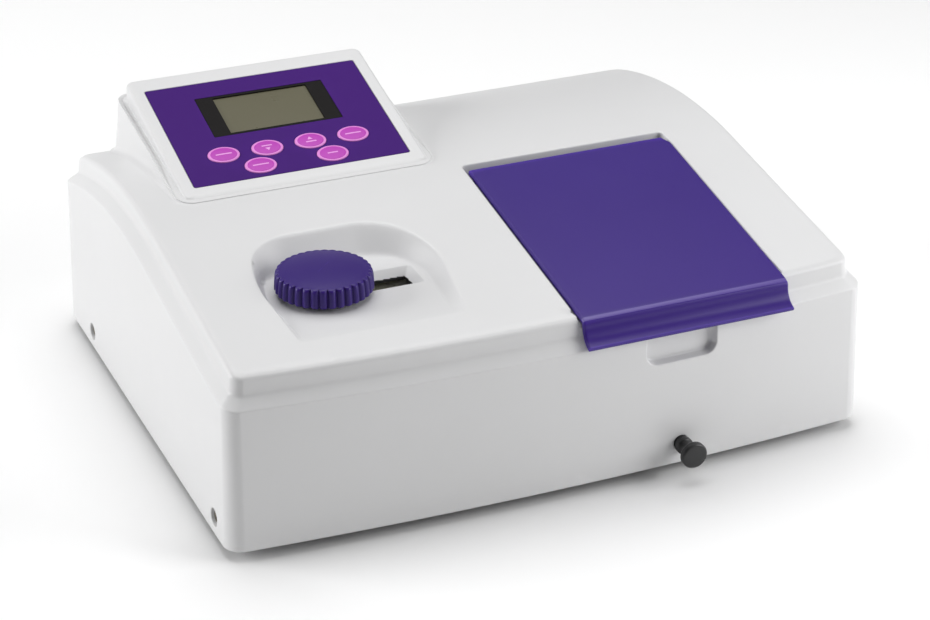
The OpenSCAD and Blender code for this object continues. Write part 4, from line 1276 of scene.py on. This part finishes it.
# ---------------------------------------------------------------- carried-over CAD nodes
def soften(names, width, segments=2):
    """Small rounded edges on CAD pieces that stay."""
    for name in names:
        m = nodes[name].modifiers.new("edge", "BEVEL")
        m.width = width / 1000
        m.segments = segments
        m.limit_method = "ANGLE"
        m.angle_limit = math.radians(40)
        m.use_clamp_overlap = True


cover()
bezel()
overlay()
window()
display()
keys()
knob()
lid()
changer_knob()
soften(["rear_panel", "mains_inlet", "switch_body", "power_rocker", "cell_carriage",
        "rubber_feet"], 0.35)


# ---------------------------------------------------------------- studio
WORLD, LEFT_W, TOP_W, FRONT_W = 0.06, 48.5, 43.5, 12.5      # background, then watts
LENS = 99.73
CAMERA_AT, CAMERA_LOOK = Vector((-0.6234, -1.4719, 0.8607)), Vector((0.01093, 0.008, 0.047))


def area_light(name, where, target, size, watts, size_y=None):
    data = bpy.data.lights.new(name, "AREA")
    data.shape = "RECTANGLE"
    data.size = size
    data.size_y = size_y or size
    data.energy = watts
    o = bpy.data.objects.new(name, data)
    bpy.context.scene.collection.objects.link(o)
    o.location = where
    o.rotation_euler = (Vector(target) - Vector(where)).to_track_quat("-Z", "Y").to_euler()
    return o


def studio():
    scene = bpy.context.scene
    mesh = bpy.data.meshes.new("floor")
    bm = bmesh.new()
    half, rise = 6.0, 4.0
    ys = [(-half, 0.0), (2.5, 0.0)]
    ys += [(2.5 + 1.5 * math.sin(math.radians(a)), 1.5 - 1.5 * math.cos(math.radians(a)))
           for a in range(10, 91, 10)]
    ys += [(4.0, rise)]
    rows = [[Vector((x, y, z)) for x in (-half, half)] for y, z in ys]
    for a, b in zip(rows, rows[1:]):
        bm.faces.new([bm.verts.new(p) for p in (a[0], a[1], b[1], b[0])])
    bmesh.ops.remove_doubles(bm, verts=bm.verts, dist=1e-5)
    for f in bm.faces:
        f.smooth = True
    bm.to_mesh(mesh)
    bm.free()
    floor = bpy.data.objects.new("floor", mesh)
    scene.collection.objects.link(floor)
    m = material("floor_paper", (0.95, 0.95, 0.95), 0.8)
    t = Tree(m)
    t.set("Normal", t.bump(t.noise(300, 3), 0.05, 0.0002))
    mesh.materials.append(m)

    world = bpy.data.worlds.new("studio")
    scene.world = world
    world.use_nodes = True
    bg = world.node_tree.nodes["Background"]
    bg.inputs["Color"].default_value = (1, 1, 1, 1)
    bg.inputs["Strength"].default_value = WORLD

    target = (0.0, 0.0, 0.08)
    area_light("left_wall", (-2.4, 0.9, 1.0), target, 1.6, LEFT_W, size_y=1.3)
    area_light("overhead", (0.1, 0.5, 2.3), target, 2.2, TOP_W)
    area_light("front_right", (1.05, -0.78, 0.60), target, 0.9, FRONT_W)

    cam = bpy.data.cameras.new("camera")
    o = bpy.data.objects.new("camera", cam)
    scene.collection.objects.link(o)
    cam.lens = LENS
    cam.sensor_width = 36.0
    cam.clip_end = 50
    o.location = CAMERA_AT
    o.rotation_euler = (CAMERA_LOOK - CAMERA_AT).to_track_quat("-Z", "Y").to_euler()
    scene.camera = o
    scene.view_settings.view_transform = "Standard"
    scene.view_settings.look = "None"


studio()
